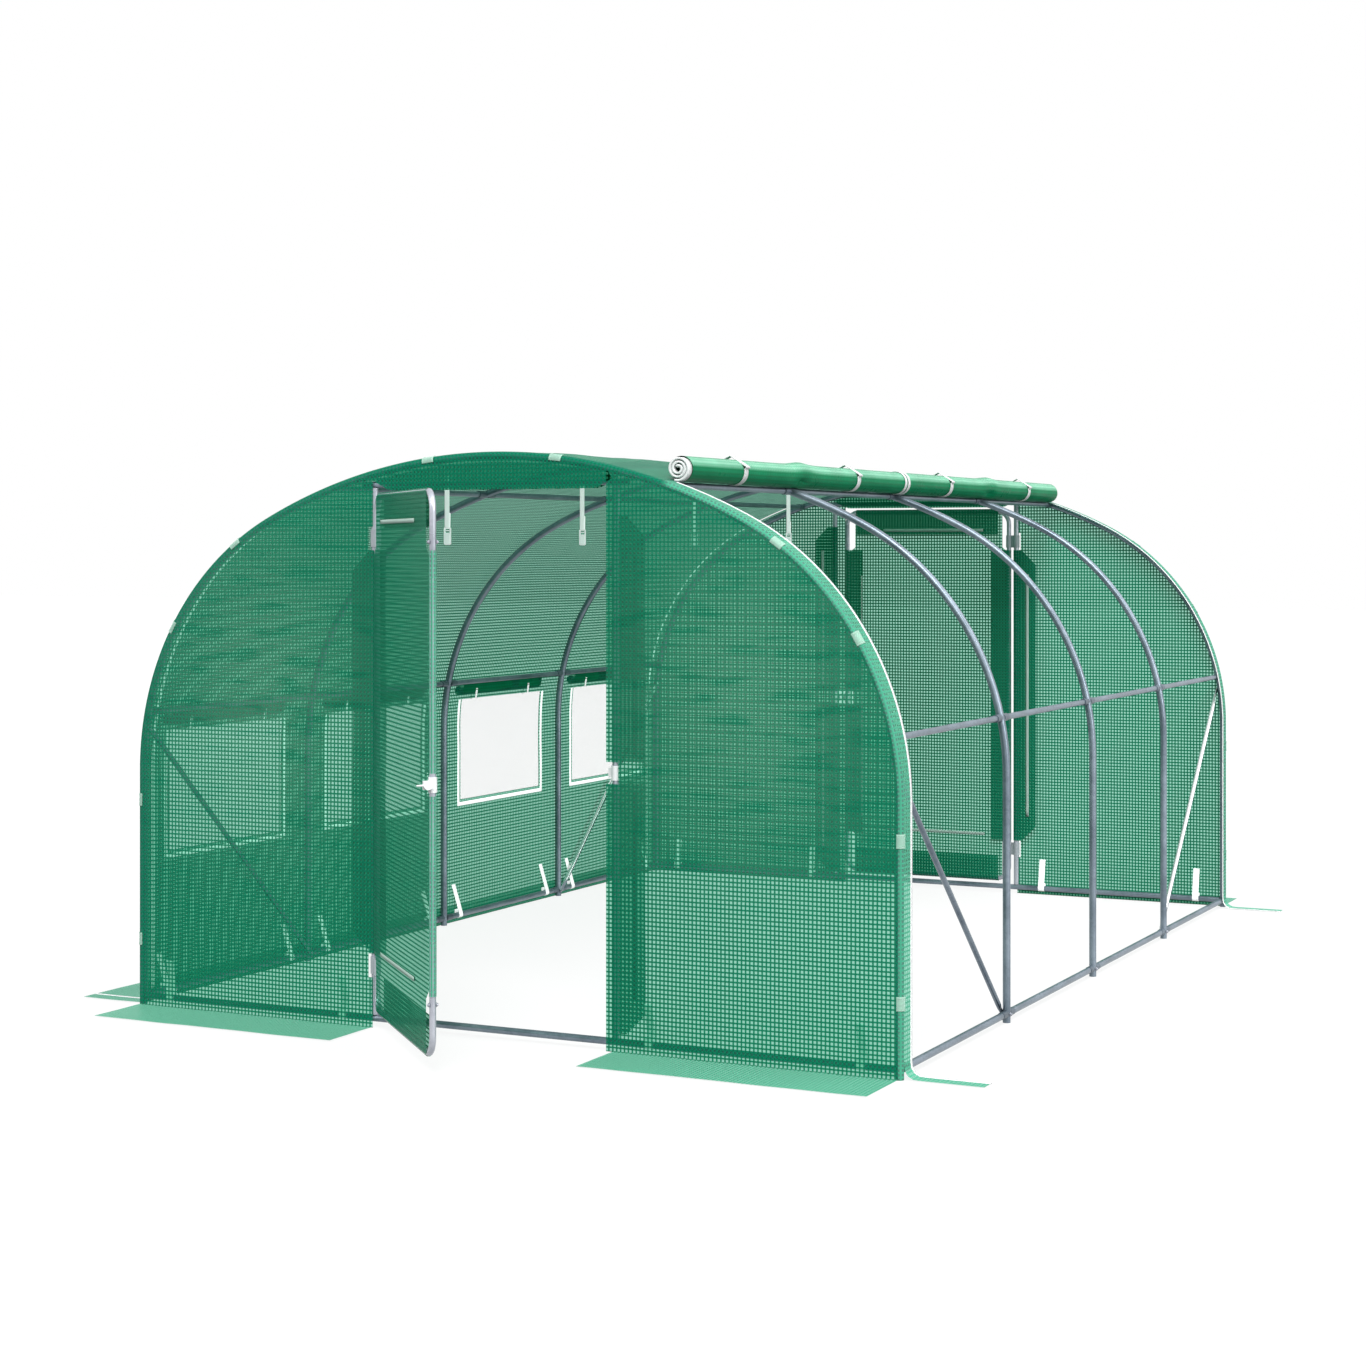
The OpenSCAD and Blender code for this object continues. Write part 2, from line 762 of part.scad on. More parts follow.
// Sleeve of an end wall round the left door post, with a flap inside that has its outer corners cut
module post_sleeve(z0, z1, low_corner, high_corner) {
    flap = [
        [0, z0], [low_corner - post_flap_w, z0], [-post_flap_w, z0 + low_corner],
        [-post_flap_w, z1 - high_corner], [high_corner - post_flap_w, z1], [0, z1]
    ];
    translate([-post_x, 0, 0]) {
        translate([0, 0, z0]) linear_extrude(z1 - z0) sleeve_plan(sheet_in, sheet_out);
        translate([0, sheet_out, 0]) rotate([90, 0, 0]) linear_extrude(sheet_t) polygon(flap);
    }
}

module post_sleeves() {
    corner = post_flap_corner;
    post_sleeve(hinge_heights[0] + hinge_half, hinge_heights[1] - hinge_half, corner, corner);
    mirror([1, 0, 0]) {
        post_sleeve(post_bottom + sleeve_gap, latch_h - clamp_half, corner, 0);
        post_sleeve(latch_h + clamp_half, post_top - post_flap_w, 0, corner);
    }
}

module front_post_sleeves() {
    color("seagreen") tunnel() front_end() post_sleeves();
}

module rear_post_sleeves() {
    color("seagreen") tunnel() rear_end() post_sleeves();
}

module left_skirt() {
    color("mediumaquamarine") tunnel()
        translate([-skirt_edge - skirt_w, -tunnel_l / 2, 0]) cube([skirt_w, tunnel_l, sheet_t]);
}

module end_skirts() {
    both_sides()
        translate([post_x, -sheet_out - skirt_w, 0]) cube([half_span - post_x, skirt_w, sheet_t]);
}

module front_skirts() {
    color("mediumaquamarine") tunnel() front_end() end_skirts();
}

module rear_skirts() {
    color("mediumaquamarine") tunnel() rear_end() end_skirts();
}

// Axis of the rolled-up side, square to the roof above the right roof purlin
module at_roll() {
    at_crown() rotate([0, -roof_purlin_angle, 0]) translate([roll_seat, 0, 0]) children();
}

module side_roll() {
    reach = tunnel_l / 2 - side_roll_inset;
    color("mediumseagreen") tunnel() at_roll() tube_y(side_roll_d, -reach, reach);
}

module roll_straps() {
    color("white") tunnel()
        for (y = bay_ys)
            at_roll() translate([0, y - strap_w / 2, 0]) rotate([-90, 0, 0])
                ring(2 * strap_r, 2 * (strap_r - strap_t), strap_w);
}

// Front view of a buckle hung from its top middle: rounded plate with two strap slots under the top bar
module buckle_plan() {
    corner = buckle_bar;
    slot_w = buckle_w - 2 * buckle_bar;
    difference() {
        union() {
            translate([corner - buckle_w / 2, -buckle_l]) square([buckle_w - 2 * corner, buckle_l]);
            translate([-buckle_w / 2, corner - buckle_l]) square([buckle_w, buckle_l - 2 * corner]);
            for (x = [-1, 1])
                for (y = [-corner, corner - buckle_l])
                    translate([x * (buckle_w / 2 - corner), y]) circle(r = corner);
        }
        for (i = [1, 2])
            translate([-slot_w / 2, -i * (buckle_bar + buckle_slot_h)]) square([slot_w, buckle_slot_h]);
    }
}

// Straps sewn to the roof, hanging with a buckle at the end
module hanging_straps() {
    drop_x = hanging_strap_x + strap_w / 2;
    top = crown_cz + sqrt(pow(crown_r + sheet_in, 2) - pow(drop_x, 2)) - fit_gap;
    color("white") tunnel()
        for (y = bay_ys)
            translate([-hanging_strap_x, y, top - hanging_strap_l]) {
                translate([-strap_w / 2, -strap_t / 2, 0]) cube([strap_w, strap_t, hanging_strap_l]);
                translate([0, buckle_t / 2, 0]) rotate([90, 0, 0]) linear_extrude(buckle_t) buckle_plan();
            }
}

// Loop of tape round a base rail, drawn in section with the wall on its +X side
module tie_section() {
    inner_r = rail_d / 2 + fit_gap;
    outer_r = inner_r + tie_t;
    wall_x = sheet_in - fit_gap;
    intersection() {
        difference() {
            circle(r = outer_r);
            circle(r = inner_r);
        }
        translate([-outer_r, -outer_r]) square([2 * outer_r, outer_r]);
    }
    translate([inner_r, 0]) square([wall_x - inner_r, tie_t]);
    translate([wall_x - tie_t, 0]) square([tie_t, tie_h]);
    translate([-outer_r, 0]) square([tie_t, rail_d]);
}

module base_tie() {
    translate([0, strap_w / 2, rail_axis_h]) rotate([90, 0, 0]) linear_extrude(strap_w) tie_section();
}

module base_ties() {
    color("white") tunnel() {
        mirror([1, 0, 0])
            for (y = bay_ys)
                for (side = [-1, 1])
                    translate([half_span, y + side * (hoop_spacing / 2 - tie_inset), 0]) base_tie();
        both_ends() both_sides()
            for (x = [post_x + tie_inset, half_span - tie_inset])
                translate([x, 0, 0]) rotate([0, 0, -90]) base_tie();
    }
}

// Snap clips over the edge wraps
module clip_section() {
    wrap_quarter(sheet_out + fit_gap, sheet_out + fit_gap + clip_t);
}

module hoop_clips() {
    shoulder_step = atan2(clip_l / 2, shoulder_r);
    crown_step = atan2(clip_l / 2, crown_r);
    crown_at = acos(clip_crown_x / crown_r);
    both_sides() {
        for (share = clip_leg_shares)
            translate([half_span, 0, share * springing_h - clip_l / 2])
                linear_extrude(clip_l) mirror([0, 1]) clip_section();
        for (share = clip_shoulder_shares)
            at_shoulder() sweep(share * crown_angle - shoulder_step, share * crown_angle + shoulder_step)
                translate([shoulder_r, 0]) clip_section();
        at_crown() sweep(crown_at - crown_step, crown_at + crown_step)
            translate([crown_r, 0]) clip_section();
    }
}

module cover_clips() {
    color("gainsboro") tunnel() both_ends() hoop_clips();
}

hoop_legs();
hoop_shoulders();
hoop_crowns();
side_base_rails();
end_base_rails();
shoulder_purlins();
roof_purlins();
tube_collars();
braces();
door_posts();
header_rails();
latch_strikes();
front_door_frame();
front_door_cover();
front_door_hinges();
front_latch_clamp();
front_latch_handle();
rear_door_frame();
rear_door_cover();
rear_door_hinges();
rear_latch_clamp();
rear_latch_handle();
roof_cover();
left_roof_cover();
left_wall_cover();
front_edge_wrap();
rear_edge_wrap();
right_edge_bands();
front_left_panel();
front_right_panel();
front_header_panel();
rear_left_panel();
rear_right_panel();
rear_header_panel();
front_post_sleeves();
rear_post_sleeves();
left_skirt();
front_skirts();
rear_skirts();
window_nets();
window_flap_rolls();
side_roll();
roll_straps();
hanging_straps();
base_ties();
cover_clips();
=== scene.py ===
"""Looks of a polytunnel greenhouse: film cover, nets, tapes, straps, clips and tube finishes.

Everything is in metres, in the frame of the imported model: X to the rolled-up side, Y to the rear, Z up.
"""

import bisect
import math

import bpy
from mathutils import Matrix, Vector, noise


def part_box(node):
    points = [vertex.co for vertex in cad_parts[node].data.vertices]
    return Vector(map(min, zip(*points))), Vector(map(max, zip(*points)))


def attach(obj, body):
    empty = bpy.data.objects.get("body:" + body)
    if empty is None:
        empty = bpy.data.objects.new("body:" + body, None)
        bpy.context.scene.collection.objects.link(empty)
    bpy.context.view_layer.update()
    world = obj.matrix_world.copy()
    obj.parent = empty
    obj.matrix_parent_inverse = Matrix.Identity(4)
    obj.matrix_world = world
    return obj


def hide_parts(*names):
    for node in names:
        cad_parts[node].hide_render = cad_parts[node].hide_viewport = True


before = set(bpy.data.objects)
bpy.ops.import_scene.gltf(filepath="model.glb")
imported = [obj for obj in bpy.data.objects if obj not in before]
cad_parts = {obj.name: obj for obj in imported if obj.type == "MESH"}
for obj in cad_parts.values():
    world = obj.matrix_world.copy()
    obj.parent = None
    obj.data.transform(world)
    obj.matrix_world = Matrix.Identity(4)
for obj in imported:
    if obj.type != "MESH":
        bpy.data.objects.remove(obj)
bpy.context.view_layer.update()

# Tunnel section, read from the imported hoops
HOOP_R = 0.014
SHOULDER_R = 1.030
legs_low, legs_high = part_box("hoop_legs")
front_y = legs_low.y + HOOP_R
rear_y = legs_high.y - HOOP_R
half_span = legs_high.x - HOOP_R
springing_z = legs_high.z
crown_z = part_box("hoop_crowns")[1].z - HOOP_R
shoulder_x = half_span - SHOULDER_R
crown_slack = crown_z - springing_z - SHOULDER_R
crown_centre_z = springing_z + (crown_slack**2 - shoulder_x**2) / (2 * crown_slack)
crown_r = crown_z - crown_centre_z
crown_angle = math.atan2(springing_z - crown_centre_z, shoulder_x)
BAYS = 4
tunnel_l = rear_y - front_y
bay_l = tunnel_l / BAYS
bay_middles = [front_y + bay_l * (bay + 0.5) for bay in range(BAYS)]

# Cover
FILM_OUT = 0.0153
GRID_PITCH = 0.015
CLOTH_STEP = 0.035
SKIRT_W = 0.270
SKIRT_Z = 0.0016
BAND_W = 0.070

# Doors
POST_X = 0.484
POST_FLAP_W = 0.104
FLAP_CHAMFER = 0.072
HINGE_PITCH = 0.038
DOOR_REACH = 0.900
DOOR_TUBE_R = 0.011
DOOR_CORNER_R = 0.064
DOOR_CORNER_CUT = 0.038
DOOR_SHEET_OUT = 0.0123
DOOR_FLAP_W = 0.090
RAIL_FLAP_W = 0.115
FRONT_DOOR_OPEN = math.radians(45)
HINGE_CLIP_H = 0.060
SLEEVE_GAP = 0.012
door_low_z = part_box("front_door_frame")[0].z + DOOR_TUBE_R
door_high_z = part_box("front_door_frame")[1].z - DOOR_TUBE_R
hinges_low, hinges_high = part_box("front_door_hinges")
sleeve_low_z = hinges_low.z + HINGE_CLIP_H + SLEEVE_GAP
sleeve_high_z = hinges_high.z - HINGE_CLIP_H - SLEEVE_GAP
clamp_low, clamp_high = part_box("front_latch_clamp")
latch_low_z = clamp_low.z - SLEEVE_GAP
latch_high_z = clamp_high.z + SLEEVE_GAP
post_foot_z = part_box("door_posts")[0].z
post_top_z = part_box("door_posts")[1].z

# Windows
WINDOW_W = 0.725
window_low_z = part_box("window_nets")[0].z
window_high_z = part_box("window_nets")[1].z

# Rolled-up side, over the right roof purlin
ROLL_PURLIN_X = 0.660
roll_angle = math.acos(ROLL_PURLIN_X / crown_r)
roll_low, roll_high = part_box("side_roll")
roll_middle = (roll_low + roll_high) / 2
roll_r = (roll_high.z - roll_low.z) / 2

# Straps, tapes and ties
STRAP_W = 0.020
STRAP_T = 0.0014
ROLL_STRAP_W = 0.030
ROLL_STRAP_T = 0.0028
HOOK_W = 0.016
ZIP_IN = 0.070
ZIP_W = 0.014
ZIP_TOOTH = 0.003


# Work on meshes
def clear_selection():
    bpy.ops.object.select_all(action="DESELECT")


def pick(piece):
    """Makes a piece the only one that is selected."""
    clear_selection()
    bpy.context.view_layer.objects.active = piece
    piece.select_set(True)


def edit(piece):
    """Opens a piece in edit mode with nothing selected."""
    pick(piece)
    bpy.ops.object.mode_set(mode="EDIT")
    bpy.ops.mesh.select_mode(type="FACE")
    bpy.ops.mesh.select_all(action="DESELECT")


def close_edit():
    bpy.ops.object.mode_set(mode="OBJECT")


def pick_faces(piece, wanted):
    """Selects the faces of a piece whose middles are wanted, and leaves the piece open in edit mode."""
    edit(piece)
    close_edit()
    for face in piece.data.polygons:
        face.select = wanted(face.center)
    bpy.ops.object.mode_set(mode="EDIT")


def join(name, pieces):
    clear_selection()
    for piece in pieces:
        piece.select_set(True)
    bpy.context.view_layer.objects.active = pieces[0]
    bpy.ops.object.join()
    whole = bpy.context.object
    whole.name = name
    whole.data.name = name
    return whole


def copy_of(piece, name):
    twin = piece.copy()
    twin.data = piece.data.copy()
    twin.name = name
    bpy.context.scene.collection.objects.link(twin)
    return twin


def settle(piece, matrix):
    """Moves a piece by its mesh, so that its object stays at the origin."""
    piece.data.transform(matrix)
    piece.data.update()
    return piece


def shift(piece, x=0.0, y=0.0, z=0.0):
    return settle(piece, Matrix.Translation((x, y, z)))


def mirror(piece):
    """Turns a piece into its mirror image, left for right."""
    settle(piece, Matrix.Scale(-1, 4, (1, 0, 0)))
    piece.data.flip_normals()
    return piece


def finish_piece(piece, material, body, nodes=()):
    piece.data.materials.clear()
    piece.data.materials.append(material)
    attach(piece, body)
    if nodes:
        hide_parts(*nodes)
    return piece


def thicken(piece, thickness):
    pick(piece)
    wall = piece.modifiers.new("wall", "SOLIDIFY")
    wall.thickness = thickness
    wall.offset = 0
    bpy.ops.object.modifier_apply(modifier=wall.name)
    return piece


SMOOTH_BELOW = math.radians(35)


def bevel(piece, width, segments=2):
    pick(piece)
    edge = piece.modifiers.new("edge", "BEVEL")
    edge.width = width
    edge.segments = segments
    edge.limit_method = "ANGLE"
    bpy.ops.object.modifier_apply(modifier=edge.name)
    bpy.ops.object.shade_smooth_by_angle(angle=SMOOTH_BELOW)
    return piece


# Flat cloths, cut and mapped in metres before they are hung
def cut_cloth(name, width, length, step=CLOTH_STEP, length_step=None):
    """A flat cloth from (0, 0) to (width, length)."""
    clear_selection()
    bpy.ops.mesh.primitive_grid_add(
        x_subdivisions=max(2, round(width / step)),
        y_subdivisions=max(2, round(length / (length_step or step))),
        size=1,
        location=(width / 2, length / 2, 0),
    )
    cloth = bpy.context.object
    cloth.name = name
    cloth.data.name = name
    cloth.scale = (width, length, 1)
    bpy.ops.object.transform_apply(location=True, rotation=False, scale=True)
    return cloth


def cut_opening(cloth, low, high):
    """Cuts a rectangle out of a flat cloth."""
    edit(cloth)
    for axis, normal in ((0, (1, 0, 0)), (1, (0, 1, 0))):
        for edge in (low[axis], high[axis]):
            bpy.ops.mesh.select_all(action="SELECT")
            place = [0, 0, 0]
            place[axis] = edge
            bpy.ops.mesh.bisect(plane_co=place, plane_no=normal)
    close_edit()
    pick_faces(cloth, lambda at: low[0] < at.x < high[0] and low[1] < at.y < high[1])
    bpy.ops.mesh.delete(type="FACE")
    close_edit()


def trim(cloth, shape):
    """Moves the points of a flat cloth to the outline that it is cut to."""
    for point in cloth.data.vertices:
        point.co = (*shape(point.co.x, point.co.y), 0)


def map_in_metres(cloth):
    layer = cloth.data.uv_layers.active
    for loop in cloth.data.loops:
        layer.data[loop.index].uv = cloth.data.vertices[loop.vertex_index].co.xy


def mark(cloth, name, value):
    """Stores a value between 0 and 1 on each point of a flat cloth, for the film's colour."""
    values = cloth.data.attributes.new(name, "FLOAT", "POINT").data
    for point, mark_value in zip(cloth.data.vertices, values):
        mark_value.value = value(point.co.x, point.co.y)


def hang(cloth, place, turned=False):
    """Hangs a flat cloth: place gives the point in the tunnel for each point of the cut."""
    map_in_metres(cloth)
    for point in cloth.data.vertices:
        point.co = place(point.co.x, point.co.y)
    edit(cloth)
    bpy.ops.mesh.select_all(action="SELECT")
    if turned:
        bpy.ops.mesh.flip_normals()
    bpy.ops.mesh.faces_shade_smooth()
    close_edit()
    return cloth


def bow(centre, radius, start, end, steps=24):
    """Points round an arc in the X-Z plane, from one angle in degrees to another."""
    points = []
    for step in range(steps + 1):
        angle = math.radians(start + (end - start) * step / steps)
        points.append(centre + Vector((radius * math.cos(angle), 0, radius * math.sin(angle))))
    return points


STRAP_STEP = 0.005
LONG_STRAP_STEP = 0.020


def lay_strap(name, path, width, thickness=0.0, across=(0, 1, 0), step=STRAP_STEP):
    """A flat strap that follows a path of points."""
    ends = [0.0]
    for start, end in zip(path, path[1:]):
        ends.append(ends[-1] + (end - start).length)

    def place(u, v):
        index = min(max(1, bisect.bisect_left(ends, v)), len(path) - 1)
        share = (v - ends[index - 1]) / (ends[index] - ends[index - 1])
        return path[index - 1].lerp(path[index], share) + Vector(across) * (u - width / 2)

    strap = cut_cloth(name, width, ends[-1], min(step, width / 2), step)
    hang(strap, place)
    return thicken(strap, thickness) if thickness else strap


SMALLEST_SQUARE = 1e-9


def wind_pitch(length, outer_r, inner_r):
    """Distance between the turns of a sheet that is wound up between two radii."""
    return math.pi * (outer_r**2 - inner_r**2) / length


def wind(at, outer_r, pitch):
    """Angle and radius at a length along a wound sheet, from its outer end."""
    radius = math.sqrt(max(SMALLEST_SQUARE, outer_r**2 - pitch * at / math.pi))
    return 2 * math.pi * (outer_r - radius) / pitch, radius


# Section of the tunnel
def arch_length(out=FILM_OUT):
    """Length over the section from one foot to the other, at a distance outside the hoop's axis."""
    shoulders_l = 2 * (SHOULDER_R + out) * crown_angle
    return 2 * springing_z + shoulders_l + (crown_r + out) * (math.pi - 2 * crown_angle)


def arch(along, out=FILM_OUT, lift=0.0):
    """Point (x, z) and outward normal of the section, a length up and over from the left foot."""
    shoulder_l = (SHOULDER_R + out) * crown_angle
    if along > arch_length(out) / 2:
        x, z, nx, nz = arch(arch_length(out) - along, out, lift)
        return -x, z, -nx, nz
    if along <= springing_z:
        return -half_span - out - lift, along, -1.0, 0.0
    along -= springing_z
    if along <= shoulder_l:
        angle = math.pi - along / (SHOULDER_R + out)
        centre_x, centre_z, radius = -shoulder_x, springing_z, SHOULDER_R
    else:
        angle = math.pi - crown_angle - (along - shoulder_l) / (crown_r + out)
        centre_x, centre_z, radius = 0.0, crown_centre_z, crown_r
    nx, nz = math.cos(angle), math.sin(angle)
    radius += out + lift
    return centre_x + radius * nx, centre_z + radius * nz, nx, nz


def arch_reach(z):
    """Length up the section from the left foot to a height on the left side."""
    if z <= springing_z:
        return z
    return springing_z + (SHOULDER_R + FILM_OUT) * math.asin((z - springing_z) / (SHOULDER_R + FILM_OUT))


def edge_x(z):
    """Distance of the hoop's axis from the middle of the tunnel at a height."""
    if z <= springing_z:
        return half_span
    if z <= springing_z + SHOULDER_R * math.sin(crown_angle):
        return shoulder_x + math.sqrt(SHOULDER_R**2 - (z - springing_z) ** 2)
    return math.sqrt(max(0.0, crown_r**2 - (z - crown_centre_z) ** 2))


def share_of(value):
    """A value kept between 0 and 1."""
    return min(1.0, max(0.0, value))


def bell(distance, spread):
    return math.exp(-((distance / spread) ** 2))


def ripple(a, b, size, seed):
    """Smooth unevenness between -1 and 1, with folds of about a size."""
    return noise.noise(Vector((a / size, b / size, seed)))


# Materials, built from a few kinds of node
def new_material(name):
    material = bpy.data.materials.new(name)
    material.use_nodes = True
    material.node_tree.nodes.clear()
    return material, material.node_tree


def show(tree, shader, kind="Material"):
    """Makes a shader the surface of a material or of the world."""
    output = tree.nodes.new(f"ShaderNodeOutput{kind}")
    tree.links.new(shader.outputs[0], output.inputs["Surface"])


def feed(tree, socket, value):
    """Sets a socket to a number or a colour, or links it to another node."""
    if isinstance(value, tuple):
        socket.default_value = (*value, 1)
    elif isinstance(value, (int, float)):
        socket.default_value = value
    else:
        tree.links.new(value, socket)


def math_node(tree, operation, a, b=0.0):
    node = tree.nodes.new("ShaderNodeMath")
    node.operation = operation
    feed(tree, node.inputs[0], a)
    feed(tree, node.inputs[1], b)
    return node.outputs[0]


def ramp(tree, value, low, high, to_low=0.0, to_high=1.0):
    node = tree.nodes.new("ShaderNodeMapRange")
    node.interpolation_type = "SMOOTHSTEP"
    tree.links.new(value, node.inputs["Value"])
    node.inputs["From Min"].default_value = low
    node.inputs["From Max"].default_value = high
    node.inputs["To Min"].default_value = to_low
    node.inputs["To Max"].default_value = to_high
    return node.outputs["Result"]


# Sockets of the Mix node that take and give colours
MIX_COLOUR_A = 6
MIX_COLOUR_B = 7
MIX_COLOUR_OUT = 2


def mix_colour(tree, factor, a, b):
    node = tree.nodes.new("ShaderNodeMix")
    node.data_type = "RGBA"
    tree.links.new(factor, node.inputs["Factor"])
    feed(tree, node.inputs[MIX_COLOUR_A], a)
    feed(tree, node.inputs[MIX_COLOUR_B], b)
    return node.outputs[MIX_COLOUR_OUT]


def mix_shaders(tree, share, first, second):
    """Mixes two shaders, with a share of the second."""
    node = tree.nodes.new("ShaderNodeMixShader")
    feed(tree, node.inputs[0], share)
    tree.links.new(first.outputs[0], node.inputs[1])
    tree.links.new(second.outputs[0], node.inputs[2])
    return node


def scaled_colour(tree, colour, factor):
    node = tree.nodes.new("ShaderNodeVectorMath")
    node.operation = "SCALE"
    tree.links.new(colour, node.inputs[0])
    tree.links.new(factor, node.inputs["Scale"])
    return node.outputs[0]


def shaded(colour, factor):
    return tuple(factor * part for part in colour)


def noise_node(tree, vector, scale, detail=3.0):
    node = tree.nodes.new("ShaderNodeTexNoise")
    node.inputs["Scale"].default_value = scale
    node.inputs["Detail"].default_value = detail
    tree.links.new(vector, node.inputs["Vector"])
    return node.outputs["Fac"]


def coordinates(tree, kind):
    return tree.nodes.new("ShaderNodeTexCoord").outputs[kind]


def axes_of(tree, vector):
    node = tree.nodes.new("ShaderNodeSeparateXYZ")
    tree.links.new(vector, node.inputs[0])
    return node.outputs


def attribute(tree, name):
    node = tree.nodes.new("ShaderNodeAttribute")
    node.attribute_name = name
    return node.outputs["Fac"]


def principled(tree, colour, roughness, normal=None, metallic=0.0, specular=0.5):
    node = tree.nodes.new("ShaderNodeBsdfPrincipled")
    feed(tree, node.inputs["Base Color"], colour)
    feed(tree, node.inputs["Roughness"], roughness)
    node.inputs["Metallic"].default_value = metallic
    node.inputs["Specular IOR Level"].default_value = specular
    if normal is not None:
        tree.links.new(normal, node.inputs["Normal"])
    return node


def paint_glow(body, colour, strength):
    """Painted glow: emission that lights a surface up, also where it is in shade."""
    body.inputs["Emission Color"].default_value = (*colour, 1)
    body.inputs["Emission Strength"].default_value = strength


def bump(tree, height, strength, distance):
    node = tree.nodes.new("ShaderNodeBump")
    node.inputs["Strength"].default_value = strength
    node.inputs["Distance"].default_value = distance
    tree.links.new(height, node.inputs["Height"])
    return node.outputs["Normal"]


def off_middle(tree, value, middle):
    return math_node(tree, "ABSOLUTE", math_node(tree, "SUBTRACT", value, middle))


def repeats(tree, value, pitch):
    """Distance from the middle of each repeat, as a share of the pitch."""
    return off_middle(tree, math_node(tree, "FRACT", math_node(tree, "DIVIDE", value, pitch)), 0.5)


THREAD_EDGE = 0.05


def scrim(tree, vector, pitch, share):
    """Masks of the two sets of threads in a square scrim, and of all threads."""
    axes = axes_of(tree, vector)
    low = 0.5 - share / 2 - THREAD_EDGE
    high = 0.5 - share / 2 + THREAD_EDGE
    along, across = [ramp(tree, repeats(tree, axes[axis], pitch), low, high) for axis in ("X", "Y")]
    return along, across, math_node(tree, "MAXIMUM", along, across)


# Film: colour of the light let straight through, and of the milky body that is lit, for cells and threads
CELL_TINT = (0.46, 0.86, 0.70)
THREAD_TINT = (0.20, 0.83, 0.48)
CELL_GREEN = (0.025, 0.23, 0.145)
THREAD_GREEN = (0.004, 0.195, 0.105)
CROSSING_GREEN = (0.003, 0.135, 0.072)
# Painted sheen: paler, greyer film where folds would catch the light
PAINTED_SHEEN_CELL = (0.21, 0.41, 0.32)
PAINTED_SHEEN_THREAD = (0.040, 0.230, 0.135)
# Painted light: paler film where the open side, the skirts and the free stile would be lit with white behind
PAINTED_LIGHT_CELL = (0.20, 0.48, 0.36)
PAINTED_LIGHT_THREAD = (0.07, 0.38, 0.24)
THREAD_SHARE = 0.40
THREAD_H = 0.0006
FILM_GLOSS = 0.05
STREAK_SCALE = (1.0, 5.0, 1.0)


def film_material(name, cell_clear, thread_clear, glow):
    """Reinforced film: clear cells between threads. Clear values are shares of light let straight through."""
    material, tree = new_material(name)
    uv = coordinates(tree, "UV")
    along, across, thread = scrim(tree, uv, GRID_PITCH, THREAD_SHARE)
    crossing = math_node(tree, "MULTIPLY", along, across)
    streaks = tree.nodes.new("ShaderNodeMapping")
    streaks.inputs["Scale"].default_value = STREAK_SCALE
    tree.links.new(uv, streaks.inputs["Vector"])
    # Painted sheen: paler streaks along the folds, as strong as the attribute marked on the cloth
    sheen_streaks = ramp(tree, noise_node(tree, streaks.outputs["Vector"], 4.5), 0.34, 0.52, 0.25, 1.0)
    painted_sheen = math_node(tree, "MULTIPLY", attribute(tree, "painted_sheen"), sheen_streaks)
    # Painted light: paler film where the pale attribute is set
    pale = attribute(tree, "pale")
    cells = mix_colour(tree, pale, mix_colour(tree, painted_sheen, CELL_GREEN, PAINTED_SHEEN_CELL), PAINTED_LIGHT_CELL)
    weave = mix_colour(tree, crossing, THREAD_GREEN, CROSSING_GREEN)
    threads = mix_colour(tree, pale, mix_colour(tree, painted_sheen, weave, PAINTED_SHEEN_THREAD), PAINTED_LIGHT_THREAD)
    colour = mix_colour(tree, thread, cells, threads)
    front = principled(tree, colour, 0.38, bump(tree, thread, 0.35, THREAD_H), specular=FILM_GLOSS)
    back = tree.nodes.new("ShaderNodeBsdfTranslucent")
    tree.links.new(colour, back.inputs["Color"])
    body = mix_shaders(tree, glow, front, back)
    window = tree.nodes.new("ShaderNodeBsdfTransparent")
    tree.links.new(mix_colour(tree, thread, CELL_TINT, THREAD_TINT), window.inputs["Color"])
    clear = ramp(tree, thread, 0.0, 1.0, cell_clear, thread_clear)
    show(tree, mix_shaders(tree, clear, body, window))
    return material


ROLLED_CELL = (0.001, 0.215, 0.090)
ROLLED_THREAD = (0.001, 0.160, 0.062)
# Painted light: paler green where the roll faces up
TOP_LIT_CELL = (0.29, 0.57, 0.42)
TOP_LIT_THREAD = (0.16, 0.44, 0.29)


def rolled_film_material(name):
    """Many layers of film wound up: solid green, with painted light making it paler where it faces up, and
    the scrim just showing.
    """
    material, tree = new_material(name)
    uv = coordinates(tree, "UV")
    thread = scrim(tree, uv, GRID_PITCH, THREAD_SHARE)[2]
    cloud = ramp(tree, noise_node(tree, uv, 6.0), 0.3, 0.7, 0.9, 1.1)
    facing_up = axes_of(tree, coordinates(tree, "Normal"))["Z"]
    # Painted highlight: paler where the roll faces up, less right on top
    upward = ramp(tree, facing_up, 0.10, 0.55, 0.0, 0.9)
    over_top = ramp(tree, facing_up, 0.75, 1.0, 1.0, 0.35)
    painted_top_light = math_node(tree, "MULTIPLY", upward, over_top)
    cells = mix_colour(tree, painted_top_light, ROLLED_CELL, TOP_LIT_CELL)
    threads = mix_colour(tree, painted_top_light, ROLLED_THREAD, TOP_LIT_THREAD)
    colour = scaled_colour(tree, mix_colour(tree, thread, cells, threads), cloud)
    rough = ramp(tree, noise_node(tree, uv, 9.0), 0.3, 0.7, 0.26, 0.38)
    show(tree, principled(tree, colour, rough, bump(tree, thread, 0.3, THREAD_H), specular=0.03))
    return material


NET_PITCH = 0.0016
NET_THREAD_SHARE = 0.45
NET_WHITE = (0.55, 0.56, 0.56)


